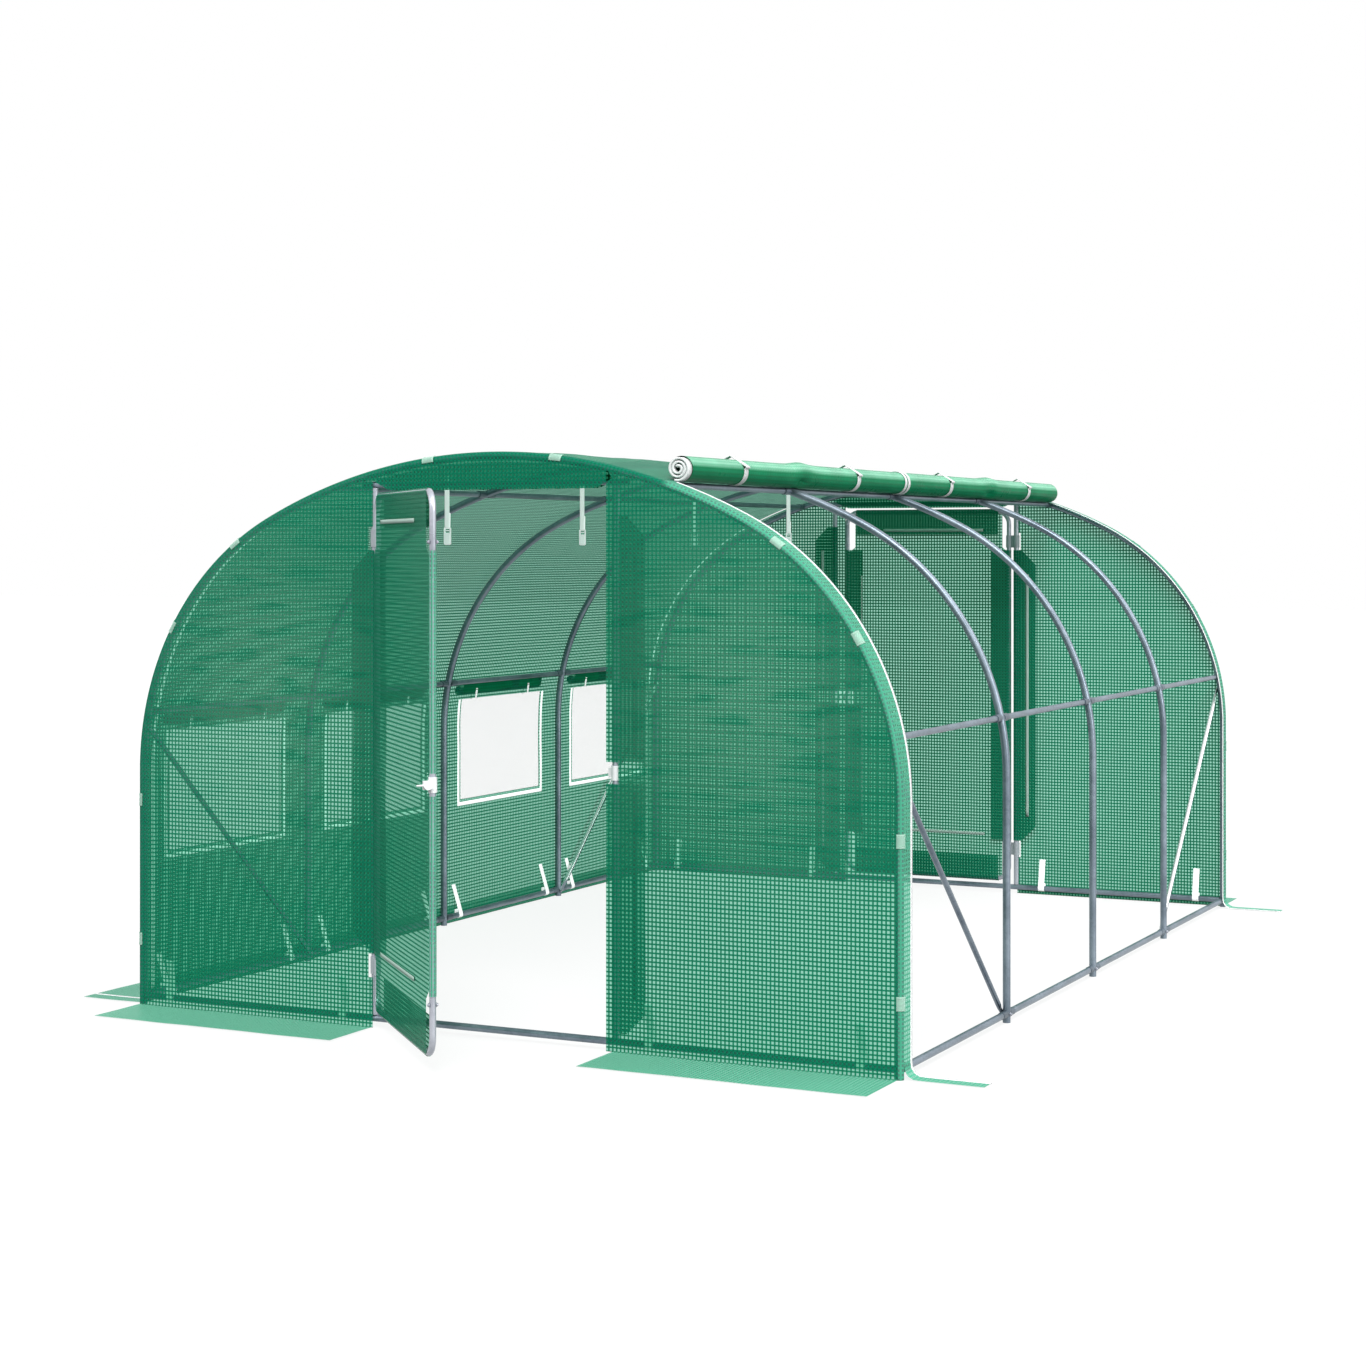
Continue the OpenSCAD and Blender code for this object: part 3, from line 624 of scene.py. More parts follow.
def net_material(name):
    """Fine white insect net."""
    material, tree = new_material(name)
    thread = scrim(tree, coordinates(tree, "UV"), NET_PITCH, NET_THREAD_SHARE)[2]
    body = principled(tree, NET_WHITE, 0.7)
    window = tree.nodes.new("ShaderNodeBsdfTransparent")
    show(tree, mix_shaders(tree, ramp(tree, thread, 0.0, 1.0, 0.97, 0.66), body, window))
    return material


RIB_H = 0.0005
RIB_SHADE = 0.72
SELVEDGE_SHARES = (0.40, 0.44)


def webbing_material(name, colour, rib, width, painted_glow=0.0):
    """Woven tape, mapped in metres: ribs across it and a tight selvedge."""
    material, tree = new_material(name)
    uv = coordinates(tree, "UV")
    axes = axes_of(tree, uv)
    groove = ramp(tree, repeats(tree, axes["Y"], rib), 0.28, 0.5)
    selvedge = [share * width for share in SELVEDGE_SHARES]
    inside = ramp(tree, off_middle(tree, axes["X"], width / 2), *selvedge, 1.0, 0.0)
    ribbed = math_node(tree, "MULTIPLY", groove, inside)
    fuzz = noise_node(tree, uv, 900, 2.0)
    # Painted shade in the grooves between the ribs
    shade = mix_colour(tree, ribbed, colour, shaded(colour, RIB_SHADE))
    height = math_node(tree, "SUBTRACT", math_node(tree, "MULTIPLY", fuzz, 0.3), ribbed)
    body = principled(tree, shade, 0.75, bump(tree, height, 0.5, RIB_H), specular=0.25)
    paint_glow(body, colour, painted_glow)
    show(tree, body)
    return material


TOOTH_WHITE = (0.88, 0.89, 0.89)
TOOTH_GAP_SHADE = (0.42, 0.45, 0.45)
TOOTH_H = 0.0008


def zip_material(name):
    """Zip coil: fine pale teeth side by side."""
    material, tree = new_material(name)
    along = axes_of(tree, coordinates(tree, "UV"))["Y"]
    # Painted shade in the gaps between the teeth
    gap = ramp(tree, repeats(tree, along, ZIP_TOOTH), 0.25, 0.45)
    shade = mix_colour(tree, gap, TOOTH_WHITE, TOOTH_GAP_SHADE)
    height = math_node(tree, "SUBTRACT", 1.0, gap)
    show(tree, principled(tree, shade, 0.4, bump(tree, height, 0.8, TOOTH_H)))
    return material


SPANGLE_SCALE = 90
SPANGLE_H = 0.0004


def steel_material(name, dark, light, roughness, metallic, painted_lit_top=None):
    """Galvanised tube with soft spangle and faint rub marks. The top colour, if given, is painted light where
    the tube faces up.
    """
    material, tree = new_material(name)
    at = coordinates(tree, "Object")
    cells = tree.nodes.new("ShaderNodeTexVoronoi")
    cells.inputs["Scale"].default_value = SPANGLE_SCALE
    tree.links.new(at, cells.inputs["Vector"])
    spangle = axes_of(tree, cells.outputs["Color"])["X"]
    cloud = noise_node(tree, at, 6.0)
    mixed = math_node(tree, "ADD", math_node(tree, "MULTIPLY", spangle, 0.15), cloud)
    colour = mix_colour(tree, ramp(tree, mixed, 0.2, 0.95), dark, light)
    # Painted light: the top colour where the tube faces up
    if painted_lit_top:
        facing_up = axes_of(tree, coordinates(tree, "Normal"))["Z"]
        colour = mix_colour(tree, ramp(tree, facing_up, 0.15, 0.5), colour, painted_lit_top)
    rough = ramp(tree, cloud, 0.3, 0.7, roughness - 0.06, roughness + 0.08)
    show(tree, principled(tree, colour, rough, bump(tree, spangle, 0.08, SPANGLE_H), metallic))
    return material


GRAIN_H = 0.0003


def plastic_material(name, colour, roughness, painted_glow=0.0):
    """Moulded plastic with a fine grain."""
    material, tree = new_material(name)
    at = coordinates(tree, "Object")
    grain = noise_node(tree, at, 700, 2.0)
    cloud = ramp(tree, noise_node(tree, at, 25), 0.3, 0.7)
    shade = mix_colour(tree, cloud, shaded(colour, 0.93), shaded(colour, 1.03))
    body = principled(tree, shade, roughness, bump(tree, grain, 0.15, GRAIN_H))
    paint_glow(body, colour, painted_glow)
    show(tree, body)
    return material


CLIP_GREEN = (0.52, 0.80, 0.66)
CLIP_WHITE = (0.62, 0.88, 0.76)
CLIP_CLEAR = 0.65


def clip_material(name):
    """Milky translucent clip plastic."""
    material, tree = new_material(name)
    at = coordinates(tree, "Object")
    milk = mix_colour(tree, noise_node(tree, at, 60), CLIP_GREEN, CLIP_WHITE)
    shade = scaled_colour(tree, milk, ramp(tree, noise_node(tree, at, 400), 0.3, 0.7, 0.95, 1.02))
    body = principled(tree, shade, 0.3, specular=0.15)
    window = tree.nodes.new("ShaderNodeBsdfTransparent")
    show(tree, mix_shaders(tree, CLIP_CLEAR, body, window))
    return material


film = film_material("green_film", cell_clear=0.65, thread_clear=0.04, glow=0.08)
rolled_film = rolled_film_material("rolled_green_film")
net = net_material("insect_net")
tape = webbing_material("white_tape", (0.72, 0.73, 0.73), 0.004, ROLL_STRAP_W)
# Tapes with painted glow, so that they stay white in shade
bright_tape = webbing_material("bright_white_tape", (0.90, 0.91, 0.91), 0.004, STRAP_W, 0.5)
hook_tape = webbing_material("white_hook_tape", (0.90, 0.91, 0.91), 0.002, HOOK_W, 0.8)
plain_tape = webbing_material("plain_white_tape", (0.80, 0.81, 0.81), 0.0015, ZIP_W, 0.1)
pale_tape = webbing_material("pale_hook_tape", (0.42, 0.56, 0.50), 0.003, ZIP_W)
zip_coil = zip_material("zip_coil")
frame_steel = steel_material("frame_steel", (0.115, 0.150, 0.185), (0.24, 0.29, 0.34), 0.34, 0.6)
# Braces with painted light on their upper faces
brace_steel = steel_material(
    "brace_steel", (0.10, 0.13, 0.165), (0.22, 0.265, 0.31), 0.20, 0.8, painted_lit_top=(0.86, 0.87, 0.88)
)
collar_steel = steel_material("collar_steel", (0.08, 0.105, 0.13), (0.16, 0.20, 0.24), 0.42, 0.6)
door_steel = steel_material("door_steel", (0.30, 0.32, 0.37), (0.46, 0.48, 0.53), 0.28, 0.55)
white_plastic = plastic_material("white_plastic", (0.80, 0.81, 0.82), 0.38)
grey_plastic = plastic_material("grey_plastic", (0.34, 0.37, 0.40), 0.40)
# Buckles with painted glow, so that they stay white in shade
bright_plastic = plastic_material("bright_white_plastic", (0.86, 0.87, 0.88), 0.38, 0.45)
clip_plastic = clip_material("clip_plastic")


def finish_node(material, *nodes):
    for node in nodes:
        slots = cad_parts[node].data.materials
        slots.clear()
        slots.append(material)


finish_node(frame_steel, "hoop_legs", "hoop_shoulders", "hoop_crowns", "side_base_rails", "end_base_rails")
finish_node(frame_steel, "shoulder_purlins", "roof_purlins", "header_rails")
finish_node(brace_steel, "braces")
finish_node(collar_steel, "tube_collars")
finish_node(door_steel, "door_posts", "front_door_frame", "rear_door_frame")
finish_node(grey_plastic, "front_door_hinges", "rear_door_hinges")
finish_node(white_plastic, "latch_strikes", "front_latch_clamp", "rear_latch_clamp")
finish_node(white_plastic, "front_latch_handle", "rear_latch_handle")


# Roof and left wall: one sheet from the left ground over the crown to the roll
roof_l = arch_length() / 2 + (crown_r + FILM_OUT) * (math.pi / 2 - roll_angle)
window_low_l = arch_reach(window_low_z)
window_high_l = arch_reach(window_high_z)
FOLDS_SIDE = 0.004
FOLDS_CROWN = 0.011
CROWN_FOLDS_L = 0.75
BIG_FOLD = 0.24
BIG_FOLD_SHARE = 0.6
BIG_FOLD_STRETCH = 1.6
SMALL_FOLD = 0.09
SMALL_FOLD_SHARE = 0.4
SAG_POWER = 0.7
SLACK = 0.0025
PURLIN_ROOM = 0.003


def slack(y, along):
    """How far the sheet stands off between two hoops, with the loosest folds at the crown."""
    share = (y - front_y) / bay_l % 1.0
    span = math.sin(math.pi * share) ** SAG_POWER
    folds = BIG_FOLD_SHARE * ripple(y, BIG_FOLD_STRETCH * along, BIG_FOLD, 3.1)
    folds += SMALL_FOLD_SHARE * ripple(y, along, SMALL_FOLD, 7.7)
    at_crown = max(0.0, 1 - ((along - arch_length() / 2) / CROWN_FOLDS_L) ** 2)
    size = FOLDS_SIDE + (FOLDS_CROWN - FOLDS_SIDE) * at_crown
    return span * max(-PURLIN_ROOM - 0.5 * size * at_crown, SLACK + size * folds)


def on_cover(y, along, under=0.0):
    """Point on the sheet between the hoops, or just under it for what is sewn there."""
    x, z, _, _ = arch(along, lift=slack(y, along) - under)
    return Vector((x, y, z))


def make_roof_film():
    cloth = cut_cloth("roof_film", tunnel_l, roof_l)
    for middle in bay_middles:
        centre = middle - front_y
        cut_opening(cloth, (centre - WINDOW_W / 2, window_low_l), (centre + WINDOW_W / 2, window_high_l))
    hang(cloth, lambda y_from_front, along: on_cover(front_y + y_from_front, along), turned=True)
    finish_piece(cloth, film, "tunnel", ("roof_cover", "left_roof_cover", "left_wall_cover"))


# End walls
def end_matrix(end):
    """Places what is drawn for the front end, with the hoop's plane at y = 0."""
    if end == "front":
        return Matrix.Translation((0, front_y, 0))
    return Matrix.Translation((0, rear_y, 0)) @ Matrix.Rotation(math.pi, 4, "Z")


EDGE_STEPS = 6
EDGE_STEP_L = 0.03


def make_edge_film(end):
    """Cover turned down over an end hoop, a quarter of the way round it, with painted light making it pale on
    the open side.
    """
    width = FILM_OUT * math.pi / 2
    length = arch_length()
    cloth = cut_cloth(f"{end}_edge_film", width, length, width / EDGE_STEPS, EDGE_STEP_L)

    def place(across, along):
        turn = across / FILM_OUT
        x, z, nx, nz = arch(along * arch_length(0.0) / length, out=0.0)
        out = FILM_OUT * math.cos(turn)
        return Vector((x + nx * out, -FILM_OUT * math.sin(turn), z + nz * out))

    open_side = 1 if end == "front" else -1
    # Painted light on the open side of the wrap
    mark(cloth, "pale", lambda u, along: float(open_side * (along - length / 2) > roof_l - length / 2))
    hang(cloth, place)
    settle(cloth, end_matrix(end))
    finish_piece(cloth, film, "tunnel", (f"{end}_edge_wrap",))


PANEL_TOP_GAP = 0.001
PANEL_SLACK = 0.0025
PANEL_TIGHT_W = 0.12
PANEL_BIG_FOLD = 0.25
PANEL_SMALL_FOLD = 0.1


def on_end(x, z):
    """Point on an end panel, which stands off a little away from the hoop and the post."""
    folds = BIG_FOLD_SHARE * ripple(x, z, PANEL_BIG_FOLD, 11.3)
    folds += SMALL_FOLD_SHARE * ripple(x, z, PANEL_SMALL_FOLD, 5.9)
    near_edge = share_of((edge_x(max(0.0, z)) - abs(x)) / PANEL_TIGHT_W)
    near_post = share_of((abs(x) - POST_X) / PANEL_TIGHT_W)
    return Vector((x, -FILM_OUT - PANEL_SLACK * near_edge * near_post * (1 + folds), z))


LATCH_LAPS = {"front": 0.030, "rear": 0.052}
CLIP_NOTCH_W = 0.017
OVERCUT = 0.01
PANEL_SHEEN_X = 0.96
PANEL_SHEEN_Z = 1.20
PANEL_SHEEN_W = 0.44
PANEL_SHEEN_H = 0.56


def panel_painted_sheen(x, z):
    """Painted sheen in the slack middle of a panel, where folds would catch the light."""
    return bell(abs(x) - PANEL_SHEEN_X, PANEL_SHEEN_W) * bell(z - PANEL_SHEEN_Z, PANEL_SHEEN_H)


def make_side_panel(end, side, nodes, notches, lap=0.0):
    """Panel from a hoop leg to a door post, -1 on the left seen from outside. A lap goes on past the post."""
    top_z = crown_centre_z + math.sqrt(crown_r**2 - POST_X**2) - PANEL_TOP_GAP
    inner_x = POST_X - lap
    width = half_span - inner_x
    cloth = cut_cloth(nodes[0].replace("panel", "film"), width, top_z)
    trim(cloth, lambda u, z: (side * (inner_x + (edge_x(z) - inner_x) * u / width), z))
    for low_z, high_z in notches:
        inner, outer = sorted((side * (inner_x - OVERCUT), side * (POST_X + CLIP_NOTCH_W)))
        cut_opening(cloth, (inner, low_z), (outer, high_z))
    # Painted sheen on the front panels
    if end == "front":
        mark(cloth, "painted_sheen", panel_painted_sheen)
    hang(cloth, on_end, turned=side < 0)
    settle(cloth, end_matrix(end))
    finish_piece(cloth, film, "tunnel", nodes)


HEADER_CUT_W = 0.070
HEADER_CUT_H = 0.036
HEADER_LAP = 0.010
HEADER_TOP_GAP = 0.020
HEADER_STEP = 0.02


def make_header(end):
    """Double sheet over the doorway, outside and inside the hoop, with its lower corners cut back."""
    low_z = post_top_z - HEADER_LAP
    top_l = crown_z - low_z
    pieces = []
    for y, top_gap in ((-FILM_OUT, 0.0), (FILM_OUT, HEADER_TOP_GAP)):
        cloth = cut_cloth("header", 2 * POST_X, top_l, HEADER_STEP)

        def outline(u, v):
            x = u - POST_X
            top = crown_centre_z + math.sqrt(crown_r**2 - x**2) - top_gap
            low = low_z + HEADER_CUT_H * max(0.0, 1 - (POST_X - abs(x)) / HEADER_CUT_W)
            return x, low + (top - low) * v / top_l

        trim(cloth, outline)
        pieces.append(hang(cloth, lambda x, z: Vector((x, y, z)), turned=y > 0))
    whole = join(f"{end}_header_film", pieces)
    settle(whole, end_matrix(end))
    finish_piece(whole, film, "tunnel", (f"{end}_header_panel",))


SLEEVE_STEP = 0.012
FLAP_WAVE = 0.0015
FLAP_WAVES = 9


def sleeve_cloth(radius, flap_w, length, chamfer_low=0.0, chamfer_high=0.0, pale=0.0):
    """Cloth half round a tube and on into a flap with cut corners, and its area before those cuts."""
    wrap = math.pi * radius
    width = wrap + flap_w
    cloth = cut_cloth("sleeve", width, length, SLEEVE_STEP)

    def outline(u, v):
        cut = max(0.0, chamfer_low - v, chamfer_high - (length - v))
        return (u if u <= wrap else wrap + (u - wrap) * (flap_w - cut) / flap_w), v

    def place(u, v):
        if u <= wrap:
            turn = u / radius
            return Vector((radius * math.sin(turn), -radius * math.cos(turn), v))
        wave = FLAP_WAVE * math.sin(FLAP_WAVES * v) * (u - wrap) / flap_w
        return Vector((wrap - u, radius + wave, v))

    trim(cloth, outline)
    # Painted light on the wrap round the tube, as much as pale gives
    mark(cloth, "pale", lambda u, v: pale if u <= wrap else 0.0)
    return hang(cloth, place), width * length


# Side, lowest and highest end, and the corners cut off the flap at those ends
post_sleeve_runs = (
    (-1, sleeve_low_z, sleeve_high_z, FLAP_CHAMFER, FLAP_CHAMFER),
    (1, post_foot_z + SLEEVE_GAP, latch_low_z, FLAP_CHAMFER, 0.0),
    (1, latch_high_z, post_top_z - POST_FLAP_W, 0.0, FLAP_CHAMFER),
)


def make_post_sleeves(end):
    pieces, area = [], 0.0
    for side, low_z, high_z, low_cut, high_cut in post_sleeve_runs:
        cloth, full_area = sleeve_cloth(FILM_OUT, POST_FLAP_W, high_z - low_z, low_cut, high_cut)
        if side > 0:
            mirror(cloth)
        pieces.append(shift(cloth, x=side * POST_X, z=low_z))
        area += full_area - (low_cut**2 + high_cut**2) / 2
    whole = join(f"{end}_sleeve_films", pieces)
    settle(whole, end_matrix(end))
    finish_piece(whole, film, "tunnel", (f"{end}_post_sleeves",))


# Doors, drawn closed with the hinge axis at the origin and the outside towards -Y
DOOR_STEP = 0.03
DOOR_SLACK = 0.0015
DOOR_FOLD = 0.2
# Share of painted sheen over the front door
DOOR_PAINTED_SHEEN = 0.15
DOOR_LATCH_CUT_W = 0.0265
CORNER_ROOM = 0.005
door_w = DOOR_REACH - HINGE_PITCH
door_l = door_high_z - door_low_z


def door_matrix(end):
    if end == "front":
        return Matrix.Translation((-POST_X, front_y, 0)) @ Matrix.Rotation(-FRONT_DOOR_OPEN, 4, "Z")
    return Matrix.Translation((POST_X, rear_y, 0)) @ Matrix.Rotation(math.pi, 4, "Z")


def door_side(z):
    """How far the door's sheet is cut back from the stiles at a height."""
    return 0.0 if sleeve_low_z - CORNER_ROOM < z < sleeve_high_z + CORNER_ROOM else DOOR_CORNER_CUT


def on_door(x, z):
    """Point on the outside of the door's sheet, which stands off the frame a little in the middle."""
    share = share_of((x - HINGE_PITCH) / door_w)
    bulge = DOOR_SLACK * (1 + ripple(x, z, DOOR_FOLD, 2.2)) * math.sqrt(math.sin(math.pi * share))
    return Vector((x, -DOOR_SHEET_OUT - bulge, z))


# Stile, its side, and the lowest and highest end of a sleeve on it
door_sleeve_runs = (
    (HINGE_PITCH, -1, sleeve_low_z, sleeve_high_z),
    (DOOR_REACH, 1, sleeve_low_z, latch_low_z),
    (DOOR_REACH, 1, latch_high_z, sleeve_high_z),
)


def make_door_film(end):
    panel = cut_cloth("door_panel", door_w, door_l, DOOR_STEP)

    def outline(u, v):
        z = door_low_z + v
        cut = door_side(z)
        return HINGE_PITCH + cut + (door_w - 2 * cut) * u / door_w, z

    trim(panel, outline)
    cut_opening(panel, (DOOR_REACH - DOOR_LATCH_CUT_W, latch_low_z), (DOOR_REACH + OVERCUT, latch_high_z))
    # Painted sheen, even over the front door
    if end == "front":
        mark(panel, "painted_sheen", lambda x, z: DOOR_PAINTED_SHEEN)
    hang(panel, on_door)
    pieces, area = [panel], door_w * door_l
    for x, side, low_z, high_z in door_sleeve_runs:
        # Painted light on the wrap of the free stile
        cloth, full_area = sleeve_cloth(DOOR_SHEET_OUT, DOOR_FLAP_W, high_z - low_z, pale=max(0, side))
        if side < 0:
            mirror(cloth)
        pieces.append(shift(cloth, x=x, z=low_z))
        area += full_area
    rail_l = door_w - 2 * DOOR_CORNER_R + 2 * SLEEVE_GAP
    for z, turn in ((door_high_z, -math.pi / 2), (door_low_z, math.pi / 2)):
        cloth, full_area = sleeve_cloth(DOOR_SHEET_OUT, RAIL_FLAP_W, rail_l)
        shift(cloth, z=-rail_l / 2)
        settle(cloth, Matrix.Rotation(turn, 4, "Y"))
        pieces.append(shift(cloth, x=HINGE_PITCH + door_w / 2, z=z))
        area += full_area
    whole = join(f"{end}_door_film", pieces)
    settle(whole, door_matrix(end))
    finish_piece(whole, film, f"{end}_door", (f"{end}_door_cover",))


# Ground skirts and the bands left beside the end hoops
GROUND_LIFT = 0.0012
GROUND_FOLD = 0.15
# Painted light on the skirts, as if lit from above with the floor showing through
LEFT_SKIRT_PAINTED_LIGHT = 0.4
END_SKIRT_PAINTED_LIGHT = 0.75


def on_ground(x, y):
    return Vector((x, y, SKIRT_Z + GROUND_LIFT * (1 + ripple(x, y, GROUND_FOLD, 4.4))))


def make_left_skirt():
    cloth = cut_cloth("left_skirt_film", SKIRT_W, tunnel_l)
    edge = half_span + FILM_OUT
    mark(cloth, "pale", lambda u, v: LEFT_SKIRT_PAINTED_LIGHT)
    hang(cloth, lambda u, v: on_ground(-edge - u, front_y + v), turned=True)
    finish_piece(cloth, film, "tunnel", ("left_skirt",))


def make_end_skirts(end):
    pieces = []
    width = half_span - POST_X
    for side in (-1, 1):
        cloth = cut_cloth("skirt", width, SKIRT_W)
        mark(cloth, "pale", lambda u, v: END_SKIRT_PAINTED_LIGHT)
        hang(cloth, lambda u, v: on_ground(side * (POST_X + u), -FILM_OUT - v), turned=side > 0)
        pieces.append(cloth)
    whole = join(f"{end}_skirt_films", pieces)
    settle(whole, end_matrix(end))
    finish_piece(whole, film, "tunnel", (f"{end}_skirts",))


SIDE_STEPS = 70
FOOT_STEPS = 8
BAND_BEND_R = 0.040
side_reach = arch_length() - roof_l


def up_left_side(start, reach, out):
    """Points up the left side of the section, after its start."""
    points = []
    for step in range(1, SIDE_STEPS + 1):
        x, z, _, _ = arch(start + (reach - start) * step / SIDE_STEPS, out)
        points.append(Vector((x, 0, z)))
    return points


def side_path(side, foot_bend, reach, out=FILM_OUT):
    """Section of the cover from the outer edge of a skirt, round the foot and up the side, -1 on the left."""
    edge = half_span + out
    ground_z = SKIRT_Z + GROUND_LIFT
    points = [Vector((edge + SKIRT_W, 0, ground_z))]
    points += bow(Vector((edge + foot_bend, 0, ground_z + foot_bend)), foot_bend, 270, 180, FOOT_STEPS)
    points += [Vector((-point.x, 0, point.z)) for point in up_left_side(ground_z + foot_bend, reach, out)]
    return [Vector((side * point.x, 0, point.z)) for point in points]


def make_edge_bands():
    """Strips of cover left beside the end hoops on the open side, each ending in a tongue on the ground."""
    path = side_path(1, BAND_BEND_R, side_reach)
    pieces = []
    for y in (front_y + BAND_W / 2, rear_y - BAND_W / 2):
        strip = lay_strap("band", path, BAND_W, step=LONG_STRAP_STEP)
        # Painted light all over the bands
        mark(strip, "pale", lambda u, v: 1.0)
        pieces.append(shift(strip, y=y))
    whole = join("right_band_films", pieces)
    finish_piece(whole, film, "tunnel", ("right_edge_bands",))


NET_UNDER = 0.0005


def make_nets():
    pieces = []
    height = window_high_l - window_low_l
    for middle in bay_middles:
        cloth = cut_cloth("net", WINDOW_W, height)
        low_y = middle - WINDOW_W / 2
        hang(cloth, lambda u, v: on_cover(low_y + u, window_low_l + v, NET_UNDER), turned=True)
        pieces.append(cloth)
    whole = join("window_net_sheets", pieces)
    finish_piece(whole, net, "tunnel", ("window_nets",))


# Rolled-up side: the unzipped sheet wound up outwards on to the roof, with zip tape along both ends
ROLL_CORE_R = 0.009
ROLL_FRONT_TAPE = 0.028
ROLL_REAR_TAPE = 0.014
ROLL_STEP = 0.04
ROLL_TURN_STEP = 0.007
HEM_PITCH = 0.012
HEM_T = 0.008
HEM_STEP = 0.006
ROLL_BUNCH = 0.0008
ROLL_BUNCH_TURNS = 3.5
TURN = 2 * math.pi
rolled_l = side_reach + SKIRT_W
rolled_pitch = wind_pitch(rolled_l, roll_r, ROLL_CORE_R)
tied_hoops = (front_y + bay_l, front_y + 3 * bay_l)

# Unevenness of the roll: depths and lengths in metres, spreads round the roll in radians
ROLL_UNEVEN = 0.0012
ROLL_UNEVEN_L = 0.3
ROLL_UNEVEN_ROUND = 3
SWELL_ANGLE = math.radians(75)
SWELL = 0.009
SWELL_BACK = 0.02
SWELL_L = 0.085
SWELL_ROUND = 0.9
PINCH_ANGLE = math.radians(-38)
PINCH = 0.016
PINCH_L = 0.026
PINCH_ROUND = 0.5
CREASE = 0.004
CREASE_SLOPE = 4.5
CREASE_FRONT_L = 0.10
CREASE_REAR_L = 0.02
CREASE_ROUND = 0.16


def roll_dent(angle, y):
    """Swelling on top of the roll and pinch under it, where it is tied at the second and fourth hoop."""
    dent = ROLL_UNEVEN * abs(math.sin(angle))
    dent *= ripple(ROLL_UNEVEN_ROUND * math.cos(angle), y, ROLL_UNEVEN_L, 21.7)
    for hoop_y in tied_hoops:
        off_top = math.remainder(angle - SWELL_ANGLE, TURN)
        off_pinch = math.remainder(angle - PINCH_ANGLE, TURN)
        dent += SWELL * bell(y - hoop_y - SWELL_BACK, SWELL_L) * bell(off_top, SWELL_ROUND)
        dent -= PINCH * bell(y - hoop_y, PINCH_L) * bell(off_pinch, PINCH_ROUND)
        before, after = max(0.0, hoop_y - y), max(0.0, y - hoop_y)
        crease = bell(before, CREASE_FRONT_L) * bell(after, CREASE_REAR_L)
        dent -= CREASE * crease * bell(off_pinch - before * CREASE_SLOPE, CREASE_ROUND)
    return dent


def round_roll(angle, radius, y):
    return Vector((roll_middle.x + radius * math.cos(angle), y, roll_middle.z + radius * math.sin(angle)))


def on_roll(y, at):
    turned, radius = wind(at, roll_r, rolled_pitch)
    angle = roll_angle + math.pi + turned
    bunched = radius - ROLL_BUNCH * math.sin(turned / ROLL_BUNCH_TURNS) * (1 - radius / roll_r)
    return round_roll(angle, bunched * (1 + roll_dent(angle, y) / roll_r), y)


def make_roll_hem(name, start, end):
    """Thick zip hem at one end of the roll, in few turns."""
    outer_r = roll_r - HEM_T / 2
    length = math.pi * (outer_r**2 - ROLL_CORE_R**2) / HEM_PITCH
    hem = cut_cloth(name, end - start, length, (end - start) / 2, HEM_STEP)

    def place(u, at):
        turned, radius = wind(at, outer_r, HEM_PITCH)
        return round_roll(roll_angle + math.pi + turned, radius, start + u)

    hang(hem, place)
    return finish_piece(thicken(hem, HEM_T), tape, "tunnel")


def make_side_roll():
    film_start = roll_low.y + ROLL_FRONT_TAPE
    film_end = roll_high.y - ROLL_REAR_TAPE
    hems = [
        make_roll_hem("roll_front_hem", roll_low.y, film_start),
        make_roll_hem("roll_rear_hem", film_end, roll_high.y),
    ]
    roll = cut_cloth("rolled_side_film", film_end - film_start, rolled_l, ROLL_STEP, ROLL_TURN_STEP)
    hang(roll, lambda u, at: on_roll(film_start + u, at))
    finish_piece(roll, rolled_film, "tunnel", ("side_roll",))


# Straps round the roll: sewn to the roof beside it, over a stiff ridge, and round under it
RIDGE_AT = Vector((-0.011, 0, 0.0585))
RIDGE_BACK = Vector((-0.042, 0, 0.0425))
STRAP_CORNER = Vector((0.0565, 0, 0.016))
STRAP_SEWN_L = 0.095
STRAP_LEAVES_L = 0.052
STRAP_ON_ROOF = 0.002
RING_PAIR_OUT = 0.018
RING_STEPS = 60
RING_GAP = 0.0022
ring_r = roll_r + RING_GAP


def beside_roll(along):
    """Point on the roof at a length to the left of the line where the roll rests, from the roll's axis."""
    out = Vector((math.cos(roll_angle), 0, math.sin(roll_angle)))
    up_roof = Vector((-math.sin(roll_angle), 0, math.cos(roll_angle)))
    return up_roof * along - out * (roll_r - STRAP_ON_ROOF)


def make_roll_straps():
    middle = Vector((roll_middle.x, 0, roll_middle.z))
    origin = Vector((0, 0, 0))
    lap = [beside_roll(STRAP_SEWN_L), beside_roll(STRAP_LEAVES_L)]
    bridge = [RIDGE_BACK, RIDGE_AT, STRAP_CORNER]
    path = lap + bow(origin, ring_r, 205, 150) + bridge + bow(origin, ring_r, 12, -115)
    path = [middle + point for point in path]
    pieces = [shift(lay_strap("strap", path, ROLL_STRAP_W, ROLL_STRAP_T), y=y) for y in bay_middles]
    ring = bow(middle, ring_r, 236, -105, RING_STEPS)
    middle_hoop = front_y + 2 * bay_l
    for offset in (-RING_PAIR_OUT, RING_PAIR_OUT):
        pieces.append(shift(lay_strap("ring", ring, STRAP_W, ROLL_STRAP_T), y=middle_hoop + offset))
    whole = join("roll_strap_webbing", pieces)
    finish_piece(whole, tape, "tunnel", ("roll_straps",))


